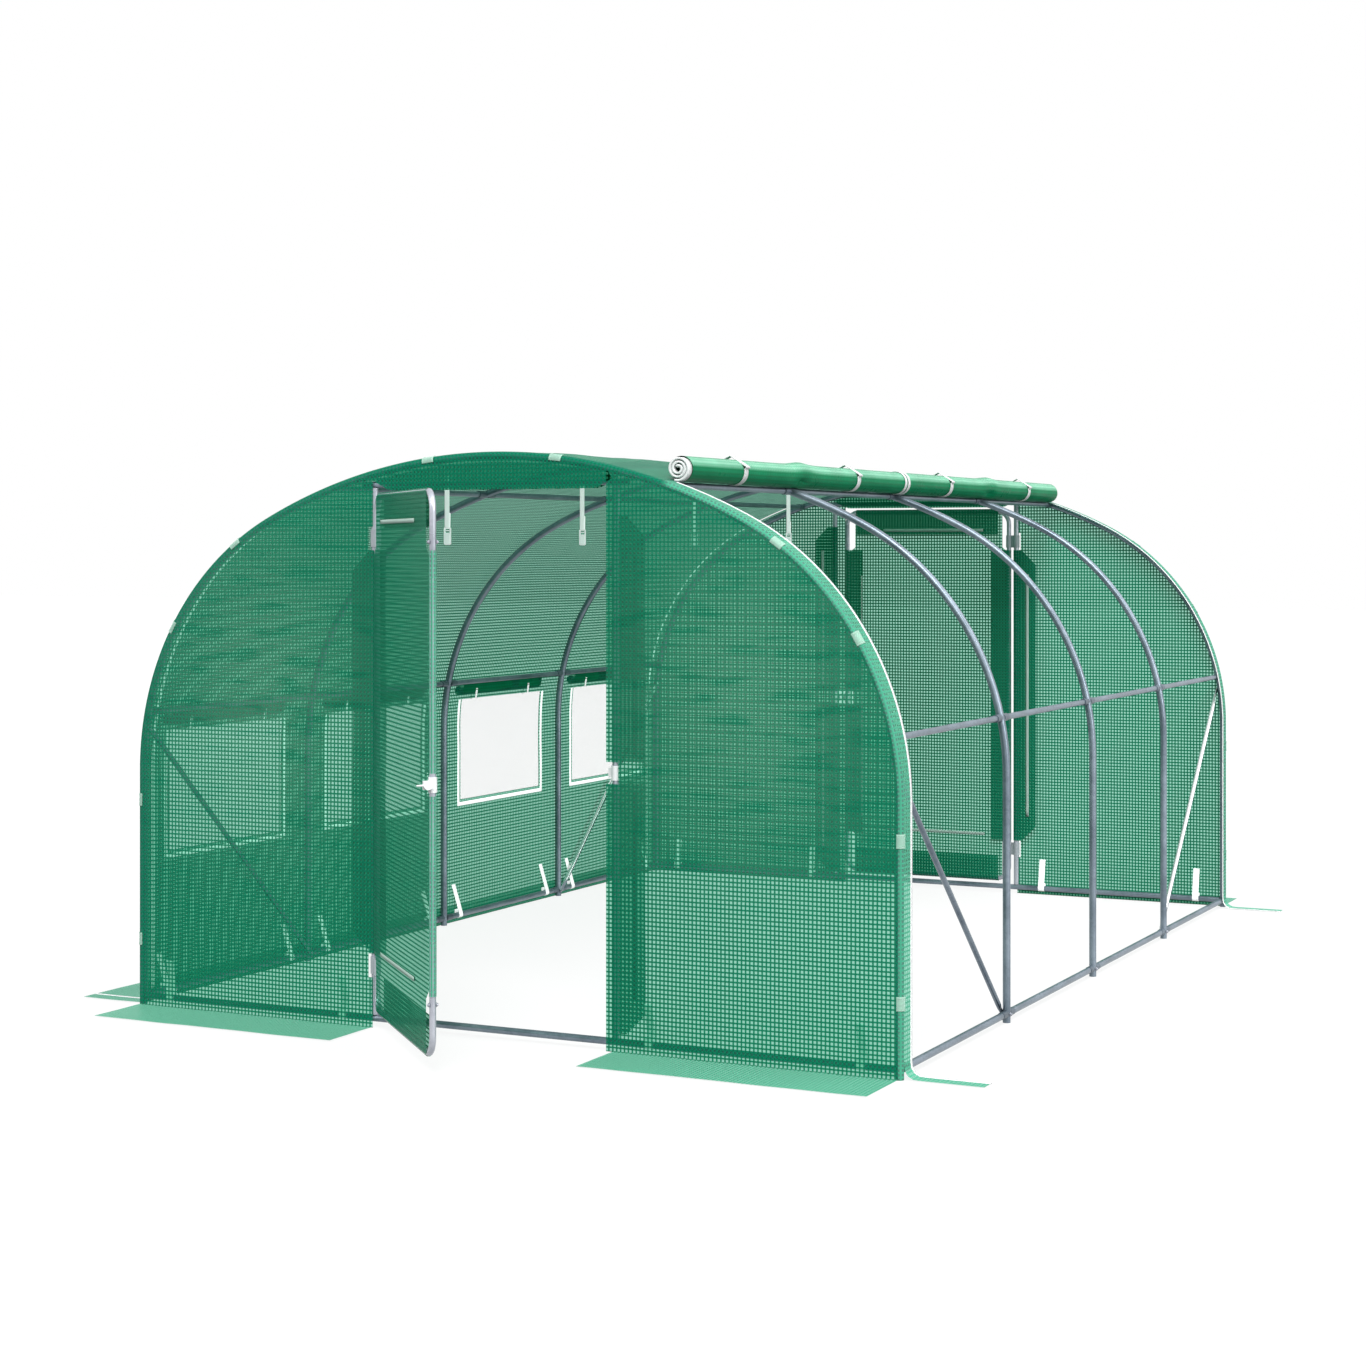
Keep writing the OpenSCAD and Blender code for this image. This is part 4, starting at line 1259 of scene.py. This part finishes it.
# Hanging straps, each with a buckle that the strap loops through
BUCKLE_W = 0.029
BUCKLE_L = 0.067
BUCKLE_T = 0.008
BUCKLE_BAR = 0.004
BUCKLE_SLOT_H = 0.007
BUCKLE_CORNER = 0.006
BUCKLE_STEP = 0.0025
BUCKLE_EDGE = 0.0007
PLATE_SHARE = 0.7
PLATE_FACE_SHARE = 0.3
BODY_LIFT_SHARE = 0.15
STRAP_TAIL_L = 0.055
STRAP_LOOP_R = 0.0032
STRAP_LOOP_STEPS = 10
STRAP_STRAIGHT_H = 0.02
STRAP_SEAM_H = 0.0015
TAIL_OFF_SHARE = 1.6
hanging_low, hanging_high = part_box("hanging_straps")
hanging_x = (hanging_low.x + hanging_high.x) / 2
buckle_top_z = hanging_low.z + BUCKLE_L


def rounded(u, v, width, length, corner):
    """Draws a point of a rectangle in to rounded ends."""
    from_end = min(v, length - v)
    if from_end >= corner:
        return u, v
    cut = corner - math.sqrt(max(0.0, corner**2 - (corner - from_end) ** 2))
    return cut + u * (width - 2 * cut) / width, v


def make_buckle():
    """Plate with two strap slots under its top bar, and a raised body below them."""
    plate = cut_cloth("buckle", BUCKLE_W, BUCKLE_L, BUCKLE_STEP)
    trim(plate, lambda u, v: rounded(u, v, BUCKLE_W, BUCKLE_L, BUCKLE_CORNER))
    for number in (1, 2):
        low = BUCKLE_L - number * (BUCKLE_BAR + BUCKLE_SLOT_H)
        cut_opening(plate, (BUCKLE_BAR, low), (BUCKLE_W - BUCKLE_BAR, low + BUCKLE_SLOT_H))
    map_in_metres(plate)
    thicken(plate, PLATE_SHARE * BUCKLE_T)
    body_top = BUCKLE_L - 2 * (BUCKLE_BAR + BUCKLE_SLOT_H) - BUCKLE_BAR
    for face_side in (-1, 1):
        pick_faces(
            plate,
            lambda at: at.z * face_side > PLATE_FACE_SHARE * BUCKLE_T
            and BUCKLE_BAR < at.x < BUCKLE_W - BUCKLE_BAR
            and BUCKLE_BAR < at.y < body_top,
        )
        lift = (0, 0, face_side * BODY_LIFT_SHARE * BUCKLE_T)
        bpy.ops.mesh.extrude_region_move(TRANSFORM_OT_translate={"value": lift})
        close_edit()
    bevel(plate, BUCKLE_EDGE)
    stand = Matrix.Rotation(math.pi / 2, 4, "X")
    return settle(plate, stand @ Matrix.Translation((-BUCKLE_W / 2, -BUCKLE_L, 0)))


def make_hanging_straps():
    bar_z = buckle_top_z - BUCKLE_BAR / 2
    top_z = hanging_high.z + STRAP_SEAM_H
    path = [Vector((0, -STRAP_LOOP_R, z)) for z in (top_z, bar_z + STRAP_STRAIGHT_H)]
    loop = bow(Vector((0, 0, bar_z)), STRAP_LOOP_R, 180, 360, STRAP_LOOP_STEPS)
    path += [Vector((0, point.x, point.z)) for point in loop]
    path.append(Vector((0, TAIL_OFF_SHARE * STRAP_LOOP_R, bar_z + STRAP_TAIL_L)))
    straps, buckles = [], []
    pattern = make_buckle()
    for y in bay_middles:
        straps.append(shift(lay_strap("strap", path, STRAP_W, STRAP_T, across=(1, 0, 0)), x=hanging_x, y=y))
        buckles.append(shift(copy_of(pattern, "buckle_copy"), x=hanging_x, y=y, z=buckle_top_z))
    bpy.data.objects.remove(pattern)
    webbing = join("hanging_webbing", straps)
    finish_piece(webbing, bright_tape, "tunnel", ("hanging_straps",))
    finish_piece(join("strap_buckles", buckles), bright_plastic, "tunnel")


# Base ties: tape sewn to the wall, over the inside of the base rail, round under it and back up
TIE_W = 0.030
TIE_H = 0.140
TIE_T = 0.0011
TIE_INSET = 0.130
TIE_TAIL_H = 0.025
TIE_TAIL_GAP = 0.0013
TIE_LEAN = 0.026
RAIL_Z = 0.032
TIE_R = 0.0132


def make_base_ties():
    wall_x = FILM_OUT - TIE_T
    round_rail = bow(Vector((0, 0, 0)), TIE_R, 169, 360)
    round_rail.append(Vector((wall_x - TIE_TAIL_GAP, 0, TIE_TAIL_H)))
    upright = [Vector((wall_x, 0, TIE_H))] + round_rail
    leaning = [Vector((wall_x, TIE_LEAN, TIE_H))] + round_rail
    pieces = []
    for middle in bay_middles:
        for side in (-1, 1):
            tie = settle(lay_strap("tie", leaning, TIE_W, TIE_T), Matrix.Rotation(math.pi, 4, "Z"))
            pieces.append(shift(tie, -half_span, middle + side * (bay_l / 2 - TIE_INSET), RAIL_Z))
    for end in ("front", "rear"):
        for side in (-1, 1):
            for x in (POST_X + TIE_INSET, half_span - TIE_INSET):
                tie = settle(lay_strap("tie", upright, TIE_W, TIE_T), Matrix.Rotation(-math.pi / 2, 4, "Z"))
                pieces.append(settle(shift(tie, x=side * x, z=RAIL_Z), end_matrix(end)))
    whole = join("base_tie_tapes", pieces)
    finish_piece(whole, bright_tape, "tunnel", ("base_ties",))


# Snap clips over the covered end hoops: a saddle with two lips and a bead at both ends
CLIP_L = 0.046
CLIP_T = 0.0016
CLIP_LIP = 0.005
CLIP_GAP = 0.0009
CLIP_STEP = 0.003
CLIP_STEPS_L = 4
CLIP_BEAD_L = 0.006
CLIP_BEAD_OUT = 0.0006
CLIP_LEG_SHARES = (0.278, 0.869)
CLIP_SHOULDER_SHARES = (0.49, 0.86)
CLIP_CROWN_X = 0.255
clip_r = FILM_OUT + CLIP_GAP + CLIP_T / 2


def clip_strip(start, length, radius):
    """Part of a saddle along the axis of the left half of an end hoop, from a length up from its foot."""
    round_l = radius * math.pi / 2
    strip = cut_cloth("clip", round_l + 2 * CLIP_LIP, length, CLIP_STEP, length / CLIP_STEPS_L)

    def place(u, v):
        x, z, nx, nz = arch(start + v, out=0.0)
        turn = min(max(0.0, (u - CLIP_LIP) / radius), math.pi / 2)
        before = max(0.0, CLIP_LIP - u)
        after = max(0.0, u - CLIP_LIP - round_l)
        out = radius * math.cos(turn) - after
        return Vector((x + nx * out, before - radius * math.sin(turn), z + nz * out))

    hang(strip, place)
    return thicken(strip, CLIP_T)


def make_clips():
    shoulder_l = SHOULDER_R * crown_angle
    crown_l = crown_r * (math.acos(CLIP_CROWN_X / crown_r) - crown_angle)
    middles = [share * springing_z for share in CLIP_LEG_SHARES]
    middles += [springing_z + share * shoulder_l for share in CLIP_SHOULDER_SHARES]
    middles.append(springing_z + shoulder_l + crown_l)
    pieces = []
    for middle in middles:
        start = middle - CLIP_L / 2
        parts = [clip_strip(start, CLIP_L, clip_r)]
        for bead in (start, start + CLIP_L - CLIP_BEAD_L):
            parts.append(clip_strip(bead, CLIP_BEAD_L, clip_r + CLIP_BEAD_OUT))
        pieces.append(join("clip", parts))
    left = join("left_clips", pieces)
    front = join("front_clips", [left, mirror(copy_of(left, "right_clips"))])
    rear = copy_of(front, "rear_clips")
    settle(front, end_matrix("front"))
    settle(rear, end_matrix("rear"))
    whole = join("hoop_snap_clips", [front, rear])
    finish_piece(whole, clip_plastic, "tunnel", ("cover_clips",))


# Zips beside the end hoops, from the edge of the skirt up to the roof
ZIP_T = 0.0018
ZIP_COIL_W = 0.005
ZIP_COIL_T = 0.0034
ZIP_ON_FILM = 0.0006
ZIP_FOOT_R = 0.02
ZIP_TOP_X = 0.670
ZIP_TOP_GAP = 0.02
ZIP_BACK_LOW = 0.050
ZIP_BACK_IN = 0.0018
ZIP_BACK_T = 0.0012


def make_zips():
    """Tape and coil outside the cover, and on the left the back of the tape inside it."""
    top_l = springing_z + (SHOULDER_R + FILM_OUT) * crown_angle
    top_l += (crown_r + FILM_OUT) * (math.acos(ZIP_TOP_X / crown_r) - crown_angle)
    left_path = side_path(-1, ZIP_FOOT_R, top_l, FILM_OUT + ZIP_ON_FILM)
    right_path = side_path(1, BAND_BEND_R, side_reach - ZIP_TOP_GAP, FILM_OUT + ZIP_ON_FILM)
    back_out = FILM_OUT - ZIP_BACK_IN
    foot_x, foot_z, _, _ = arch(ZIP_BACK_LOW, back_out)
    back_path = [Vector((foot_x, 0, foot_z))] + up_left_side(ZIP_BACK_LOW, top_l, back_out)
    tapes, coils, backs = [], [], []
    for y, inward in ((front_y, 1), (rear_y, -1)):
        back = lay_strap("zip", back_path, ZIP_W, ZIP_BACK_T, step=LONG_STRAP_STEP)
        backs.append(shift(back, y=y + inward * ZIP_IN))
        for path, y_in in ((left_path, ZIP_IN), (right_path, BAND_W - ZIP_W / 2)):
            at_y = y + inward * y_in
            tapes.append(shift(lay_strap("zip", path, ZIP_W, ZIP_T, step=LONG_STRAP_STEP), y=at_y))
            coils.append(shift(lay_strap("coil", path, ZIP_COIL_W, ZIP_COIL_T, step=LONG_STRAP_STEP), y=at_y))
    finish_piece(join("zip_tapes", tapes), plain_tape, "tunnel")
    finish_piece(join("zip_coils", coils), zip_coil, "tunnel")
    finish_piece(join("zip_back_tapes", backs), hook_tape, "tunnel")


# Window trim: hook tape round three sides, and the flap rolled up above
SEWN_UNDER = 0.0018
HOOK_GAP = 0.013
HOOK_T = 0.0012
HOOK_STEP = 0.03
FLAP_L = 0.520
FLAP_LEAD = 0.035
FLAP_CORE_R = 0.005
FLAP_TURN_STEP = 0.0045
FLAP_STEP = 0.03
FLAP_UNEVEN = 0.05
FLAP_UNEVEN_L = 0.12
FLAP_UNEVEN_TURN = 0.02
flaps_low, flaps_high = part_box("window_flap_rolls")
flap_r = (flaps_high.z - flaps_low.z) / 2
flap_middle = Vector(((flaps_low.x + flaps_high.x) / 2, 0, (flaps_low.z + flaps_high.z) / 2))
flap_pitch = wind_pitch(FLAP_L - FLAP_LEAD, flap_r, FLAP_CORE_R)
flap_out = (flap_middle - Vector((-shoulder_x, 0, springing_z))).normalized()
flap_up = Vector((flap_out.z, 0, -flap_out.x))


def make_hook_tapes():
    pieces = []
    rim = HOOK_GAP + HOOK_W
    width = WINDOW_W + 2 * rim
    height = window_high_l - window_low_l + rim
    for middle in bay_middles:
        cloth = cut_cloth("hook_tape", width, height, HOOK_STEP)
        cut_opening(cloth, (HOOK_W, HOOK_W), (width - HOOK_W, height + HOOK_W))
        low_y = middle - width / 2
        hang(cloth, lambda u, v: on_cover(low_y + u, window_low_l - rim + v, SEWN_UNDER), turned=True)
        pieces.append(thicken(cloth, HOOK_T))
    finish_piece(join("window_hook_tapes", pieces), hook_tape, "tunnel")


def on_flap(at, y):
    """Point of a window flap: down the wall from its seam, then wound outwards and up."""
    if at <= FLAP_LEAD:
        return flap_middle - flap_out * flap_r + flap_up * (FLAP_LEAD - at) + Vector((0, y, 0))
    turned, radius = wind(at - FLAP_LEAD, flap_r, flap_pitch)
    radius *= 1 + FLAP_UNEVEN * ripple(y, FLAP_UNEVEN_TURN * turned, FLAP_UNEVEN_L, 15.1)
    ray = flap_out * -math.cos(turned) - flap_up * math.sin(turned)
    return flap_middle + ray * radius + Vector((0, y, 0))


FLAP_TIE_OUT = 0.240
FLAP_TIE_W = 0.014
FLAP_TIE_T = 0.0009
FLAP_TIE_GAP = 0.0018
FLAP_TIE_HALF_TURN = 165
FLAP_TIE_STEPS = 32
FLAP_TIE_SEWN_L = 0.038
FLAP_TAIL_L = 0.020
FLAP_TAIL_GAP = 0.003
FLAP_TAIL_BENDS = ((0.0, 0.0), (-0.004, -0.4 * FLAP_TAIL_L), (-0.003, -FLAP_TAIL_L))


def flap_tie_paths():
    """Path of a tie round a rolled flap, and of its tail."""
    ring = []
    for step in range(FLAP_TIE_STEPS + 1):
        angle = math.radians(FLAP_TIE_HALF_TURN * (2 * step / FLAP_TIE_STEPS - 1))
        ray = flap_out * math.cos(angle) + flap_up * math.sin(angle)
        ring.append(flap_middle + ray * (flap_r + FLAP_TIE_GAP))
    low = flap_middle - flap_up * (flap_r + FLAP_TAIL_GAP)
    return ring, [low + Vector((x, 0, z)) for x, z in FLAP_TAIL_BENDS]


def make_window_flaps():
    flaps, ties = [], []
    for middle in bay_middles:
        start = middle - WINDOW_W / 2
        flap = cut_cloth("flap", FLAP_L, WINDOW_W, FLAP_TURN_STEP, FLAP_STEP)
        flaps.append(hang(flap, lambda at, along: on_flap(at, start + along)))
        for tie_y in (middle - FLAP_TIE_OUT, middle + FLAP_TIE_OUT):
            for path in flap_tie_paths():
                ties.append(shift(lay_strap("tie", path, FLAP_TIE_W, FLAP_TIE_T), y=tie_y))
            sewn = cut_cloth("tie", FLAP_TIE_W, FLAP_TIE_SEWN_L, FLAP_TIE_W / 2)
            low_y = tie_y - FLAP_TIE_W / 2
            hang(sewn, lambda u, v: on_cover(low_y + u, window_high_l + v, SEWN_UNDER))
            ties.append(thicken(sewn, FLAP_TIE_T))
    tie_tapes = join("window_flap_ties", ties)
    finish_piece(tie_tapes, bright_tape, "tunnel")
    whole = join("window_flap_films", flaps)
    finish_piece(whole, rolled_film, "tunnel", ("window_flap_rolls",))


# Pale hook tape on the doors and on the flaps of the post sleeves
PALE_W = 0.014
PALE_T = 0.001
PALE_STEP = 0.03
DOOR_TAPE_START = 0.13
DOOR_TAPE_END = 0.66
DOOR_TAPE_TOP_IN = 0.093
DOOR_TAPE_FOOT_IN = 0.215
DOOR_TAPE_OUT = 0.0042
DOOR_TAPE_ON_FLAP = 0.002
DOOR_TAPE_IN_PANEL = 0.0015
STILE_TAPE_W = 0.006
STILE_TAPE_FOOT_IN = 0.08
STILE_TAPE_TOP_IN = 0.13
POST_TAPE_ON_FLAP = 0.0028
POST_TAPE_IN = 0.042
POST_TAPE_GAP = 0.02
CUT_ROOM_SHARE = 1.4


def level_tape(y, z):
    path = [Vector((HINGE_PITCH + along, y, z)) for along in (DOOR_TAPE_START, DOOR_TAPE_END)]
    return lay_strap("pale", path, PALE_W, PALE_T, across=(0, 0, 1), step=PALE_STEP)


def upright_tape(x, y, low_z, high_z, width=PALE_W):
    path = [Vector((x, y, z)) for z in (low_z, high_z)]
    return lay_strap("pale", path, width, PALE_T, across=(1, 0, 0), step=PALE_STEP)


def make_door_tapes(end):
    """Tapes across the door on both faces, and one up the flap of the free stile."""
    outside_y = -DOOR_SHEET_OUT - DOOR_TAPE_OUT
    on_flap_y = DOOR_SHEET_OUT + DOOR_TAPE_ON_FLAP
    in_panel_y = -DOOR_SHEET_OUT + DOOR_TAPE_IN_PANEL
    top_z = door_high_z - DOOR_TAPE_TOP_IN
    foot_z = door_low_z + DOOR_TAPE_FOOT_IN
    pieces = []
    for z, inside_y in ((top_z, on_flap_y), (foot_z, in_panel_y)):
        pieces += [level_tape(outside_y, z), level_tape(inside_y, z)]
    x = DOOR_REACH - DOOR_FLAP_W + STILE_TAPE_W
    low_z = sleeve_low_z + STILE_TAPE_FOOT_IN
    pieces.append(upright_tape(x, on_flap_y, low_z, sleeve_high_z - STILE_TAPE_TOP_IN, STILE_TAPE_W))
    whole = join(f"{end}_door_tapes", pieces)
    settle(whole, door_matrix(end))
    finish_piece(whole, pale_tape, f"{end}_door")


def make_post_tapes(end):
    pieces = []
    y = FILM_OUT + POST_TAPE_ON_FLAP
    for side, low_z, high_z, low_cut, high_cut in post_sleeve_runs:
        low = low_z + CUT_ROOM_SHARE * low_cut + POST_TAPE_GAP
        high = high_z - CUT_ROOM_SHARE * high_cut - POST_TAPE_GAP
        pieces.append(upright_tape(side * (POST_X + POST_FLAP_W - POST_TAPE_IN), y, low, high))
    whole = join(f"{end}_post_tapes", pieces)
    settle(whole, end_matrix(end))
    finish_piece(whole, pale_tape, "tunnel")


# Bolts through the hoop legs, the pressed ends of the braces and the free stiles of the doors
BOLT_HEAD_R = 0.0062
BOLT_HEAD_H = 0.0042
BOLT_EDGE = 0.0005
BOLT_TIP_IN = 0.0022
BOLT_TIP_H = 0.0025
BOLT_FACE_SHARE = 0.9
BOLT_SUNK = 0.0004
WASHER_R = 0.0085
WASHER_T = 0.0014
WASHER_EDGE = 0.0003
WASHER_SIDES = 24
BRACE_FACE_IN = 0.0183
BRACE_FOOT_Z = 0.030
BRACE_TOP_Z = 1.030
DOOR_BOLT_IN = 0.165


def upright_cylinder(sides, radius, low_z, height):
    clear_selection()
    middle = (0, 0, low_z + height / 2)
    bpy.ops.mesh.primitive_cylinder_add(vertices=sides, radius=radius, depth=height, location=middle)
    bpy.ops.object.transform_apply(location=True, rotation=False, scale=False)
    return bpy.context.object


def make_bolt():
    """Hexagon head on a washer, drawn outwards along +Z from the face that it is tightened on."""
    washer = bevel(upright_cylinder(WASHER_SIDES, WASHER_R, 0.0, WASHER_T), WASHER_EDGE, 1)
    head = upright_cylinder(6, BOLT_HEAD_R, WASHER_T, BOLT_HEAD_H)
    pick_faces(head, lambda at: at.z > WASHER_T + BOLT_FACE_SHARE * BOLT_HEAD_H)
    bpy.ops.mesh.inset(thickness=BOLT_TIP_IN)
    bpy.ops.mesh.extrude_region_move(TRANSFORM_OT_translate={"value": (0, 0, BOLT_TIP_H)})
    close_edit()
    return join("bolt", [washer, bevel(head, BOLT_EDGE)])


def tighten_bolts(name, places, body):
    pattern = make_bolt()
    bolts = [settle(copy_of(pattern, "bolt_copy"), place) for place in places]
    bpy.data.objects.remove(pattern)
    finish_piece(join(name, bolts), door_steel, body)


def facing(at, direction):
    return Matrix.Translation(at) @ Vector(direction).to_track_quat("Z", "Y").to_matrix().to_4x4()


def make_bolts():
    places = []
    lean = math.asin((BRACE_TOP_Z - springing_z) / SHOULDER_R)
    top_r = SHOULDER_R - BRACE_FACE_IN
    for side in (-1, 1):
        inward = (-side * math.cos(lean), 0, -math.sin(lean))
        top_x = side * (shoulder_x + top_r * math.cos(lean))
        for y in (front_y, rear_y):
            places.append(facing((top_x, y, springing_z + top_r * math.sin(lean)), inward))
        for y in tied_hoops:
            places.append(facing((side * (half_span - BRACE_FACE_IN), y, BRACE_FOOT_Z), (-side, 0, 0)))
    leg_face_x = half_span + HOOP_R - BOLT_SUNK
    for hoop in range(1, BAYS):
        places.append(facing((leg_face_x, front_y + hoop * bay_l, BRACE_FOOT_Z), (1, 0, 0)))
    tighten_bolts("frame_bolts", places, "tunnel")


def make_door_bolts(end):
    """Bolts through the free stile, where its two tubes fit together."""
    places = []
    for z in (door_high_z - DOOR_BOLT_IN, door_low_z + DOOR_BOLT_IN):
        for side in (-1, 1):
            at = (DOOR_REACH, side * (DOOR_TUBE_R - BOLT_SUNK), z)
            places.append(door_matrix(end) @ facing(at, (0, side, 0)))
    tighten_bolts(f"{end}_door_bolts", places, f"{end}_door")


make_roof_film()
make_side_roll()
make_roll_straps()
make_hanging_straps()
make_base_ties()
make_clips()
make_zips()
make_hook_tapes()
make_window_flaps()
make_bolts()
make_left_skirt()
make_edge_bands()
make_nets()
hinge_notches = ((hinges_low.z - SLEEVE_GAP, sleeve_low_z), (sleeve_high_z, hinges_high.z + SLEEVE_GAP))
latch_notches = ((latch_low_z, latch_high_z),)
for end, hinge_side, latch_side in (("front", "left", "right"), ("rear", "right", "left")):
    make_edge_film(end)
    make_side_panel(end, -1, (f"{end}_{hinge_side}_panel",), hinge_notches)
    make_side_panel(end, 1, (f"{end}_{latch_side}_panel",), latch_notches, LATCH_LAPS[end])
    make_header(end)
    make_post_sleeves(end)
    make_door_film(end)
    make_end_skirts(end)
    make_door_tapes(end)
    make_door_bolts(end)
    make_post_tapes(end)


# Floor, light and camera
FLOOR_SIZE = 120
FLOOR_Z = -0.0015
FLOOR_MATT = (0.14, 0.14, 0.14)
FLOOR_PALE = (0.95, 0.95, 0.95)
SHADOW_SHARE = 0.15
SKY_COLOUR = (0.95, 0.98, 1.0)
SKY_LOW = 0.32
SKY_HIGH = 0.45


def background_rays(tree):
    """1 for what the camera sees directly, in a mirror or through glass."""
    path = tree.nodes.new("ShaderNodeLightPath")
    seen = math_node(tree, "MAXIMUM", path.outputs["Is Camera Ray"], path.outputs["Is Transmission Ray"])
    return math_node(tree, "MAXIMUM", seen, path.outputs["Is Glossy Ray"])


def coloured(tree, kind, colour):
    node = tree.nodes.new(kind)
    feed(tree, node.inputs["Color"], colour)
    return node


def make_floor():
    clear_selection()
    bpy.ops.mesh.primitive_plane_add(size=FLOOR_SIZE, location=(0, 0, FLOOR_Z))
    floor = bpy.context.object
    floor.name = "studio_floor"
    material, tree = new_material("studio_floor")
    matt = coloured(tree, "ShaderNodeBsdfDiffuse", FLOOR_MATT)
    pale = coloured(tree, "ShaderNodeBsdfDiffuse", FLOOR_PALE)
    white = coloured(tree, "ShaderNodeEmission", (1, 1, 1))
    shown = mix_shaders(tree, 1 - SHADOW_SHARE, pale, white)
    show(tree, mix_shaders(tree, background_rays(tree), matt, shown))
    floor.data.materials.append(material)


def make_world():
    world = bpy.data.worlds.new("studio")
    world.use_nodes = True
    tree = world.node_tree
    tree.nodes.clear()
    light = coloured(tree, "ShaderNodeBackground", SKY_COLOUR)
    height = axes_of(tree, coordinates(tree, "Generated"))["Z"]
    tree.links.new(ramp(tree, height, 0.0, 1.0, SKY_LOW, SKY_HIGH), light.inputs["Strength"])
    white = coloured(tree, "ShaderNodeBackground", (1, 1, 1))
    show(tree, mix_shaders(tree, background_rays(tree), light, white), "World")
    bpy.context.scene.world = world


def make_sun(name, strength, from_point, angle):
    lamp = bpy.data.lights.new(name, "SUN")
    lamp.energy = strength
    lamp.angle = math.radians(angle)
    lamp_object = bpy.data.objects.new(name, lamp)
    lamp_object.rotation_mode = "QUATERNION"
    lamp_object.rotation_quaternion = Vector(from_point).to_track_quat("Z", "Y")
    bpy.context.scene.collection.objects.link(lamp_object)


CAMERA_AT = Vector((4.3587, -9.3277, 1.7007))
CAMERA_YAW = 0.4552
IMAGE_PX = 1366
FOCAL_PX = 2464.16
HORIZON_PX = 549.22
SENSOR_MM = 36.0


def make_camera():
    data = bpy.data.cameras.new("camera")
    data.sensor_width = SENSOR_MM
    data.lens = FOCAL_PX / IMAGE_PX * SENSOR_MM
    data.shift_y = (HORIZON_PX - IMAGE_PX / 2) / IMAGE_PX
    camera = bpy.data.objects.new("camera", data)
    camera.location = CAMERA_AT
    camera.rotation_euler = (math.pi / 2, 0, CAMERA_YAW)
    bpy.context.scene.collection.objects.link(camera)
    bpy.context.scene.camera = camera


make_floor()
make_world()
make_sun("key_light", 2.9, (0.25, -0.65, 0.72), 30)
make_sun("side_light", 1.4, (1.0, -0.25, 0.3), 25)
make_sun("rim_light", 1.4, (0.65, 0.20, 0.73), 45)
make_sun("fill_light", 0.8, (-0.8, -0.6, 0.5), 30)
make_camera()
bpy.context.scene.view_settings.view_transform = "Standard"
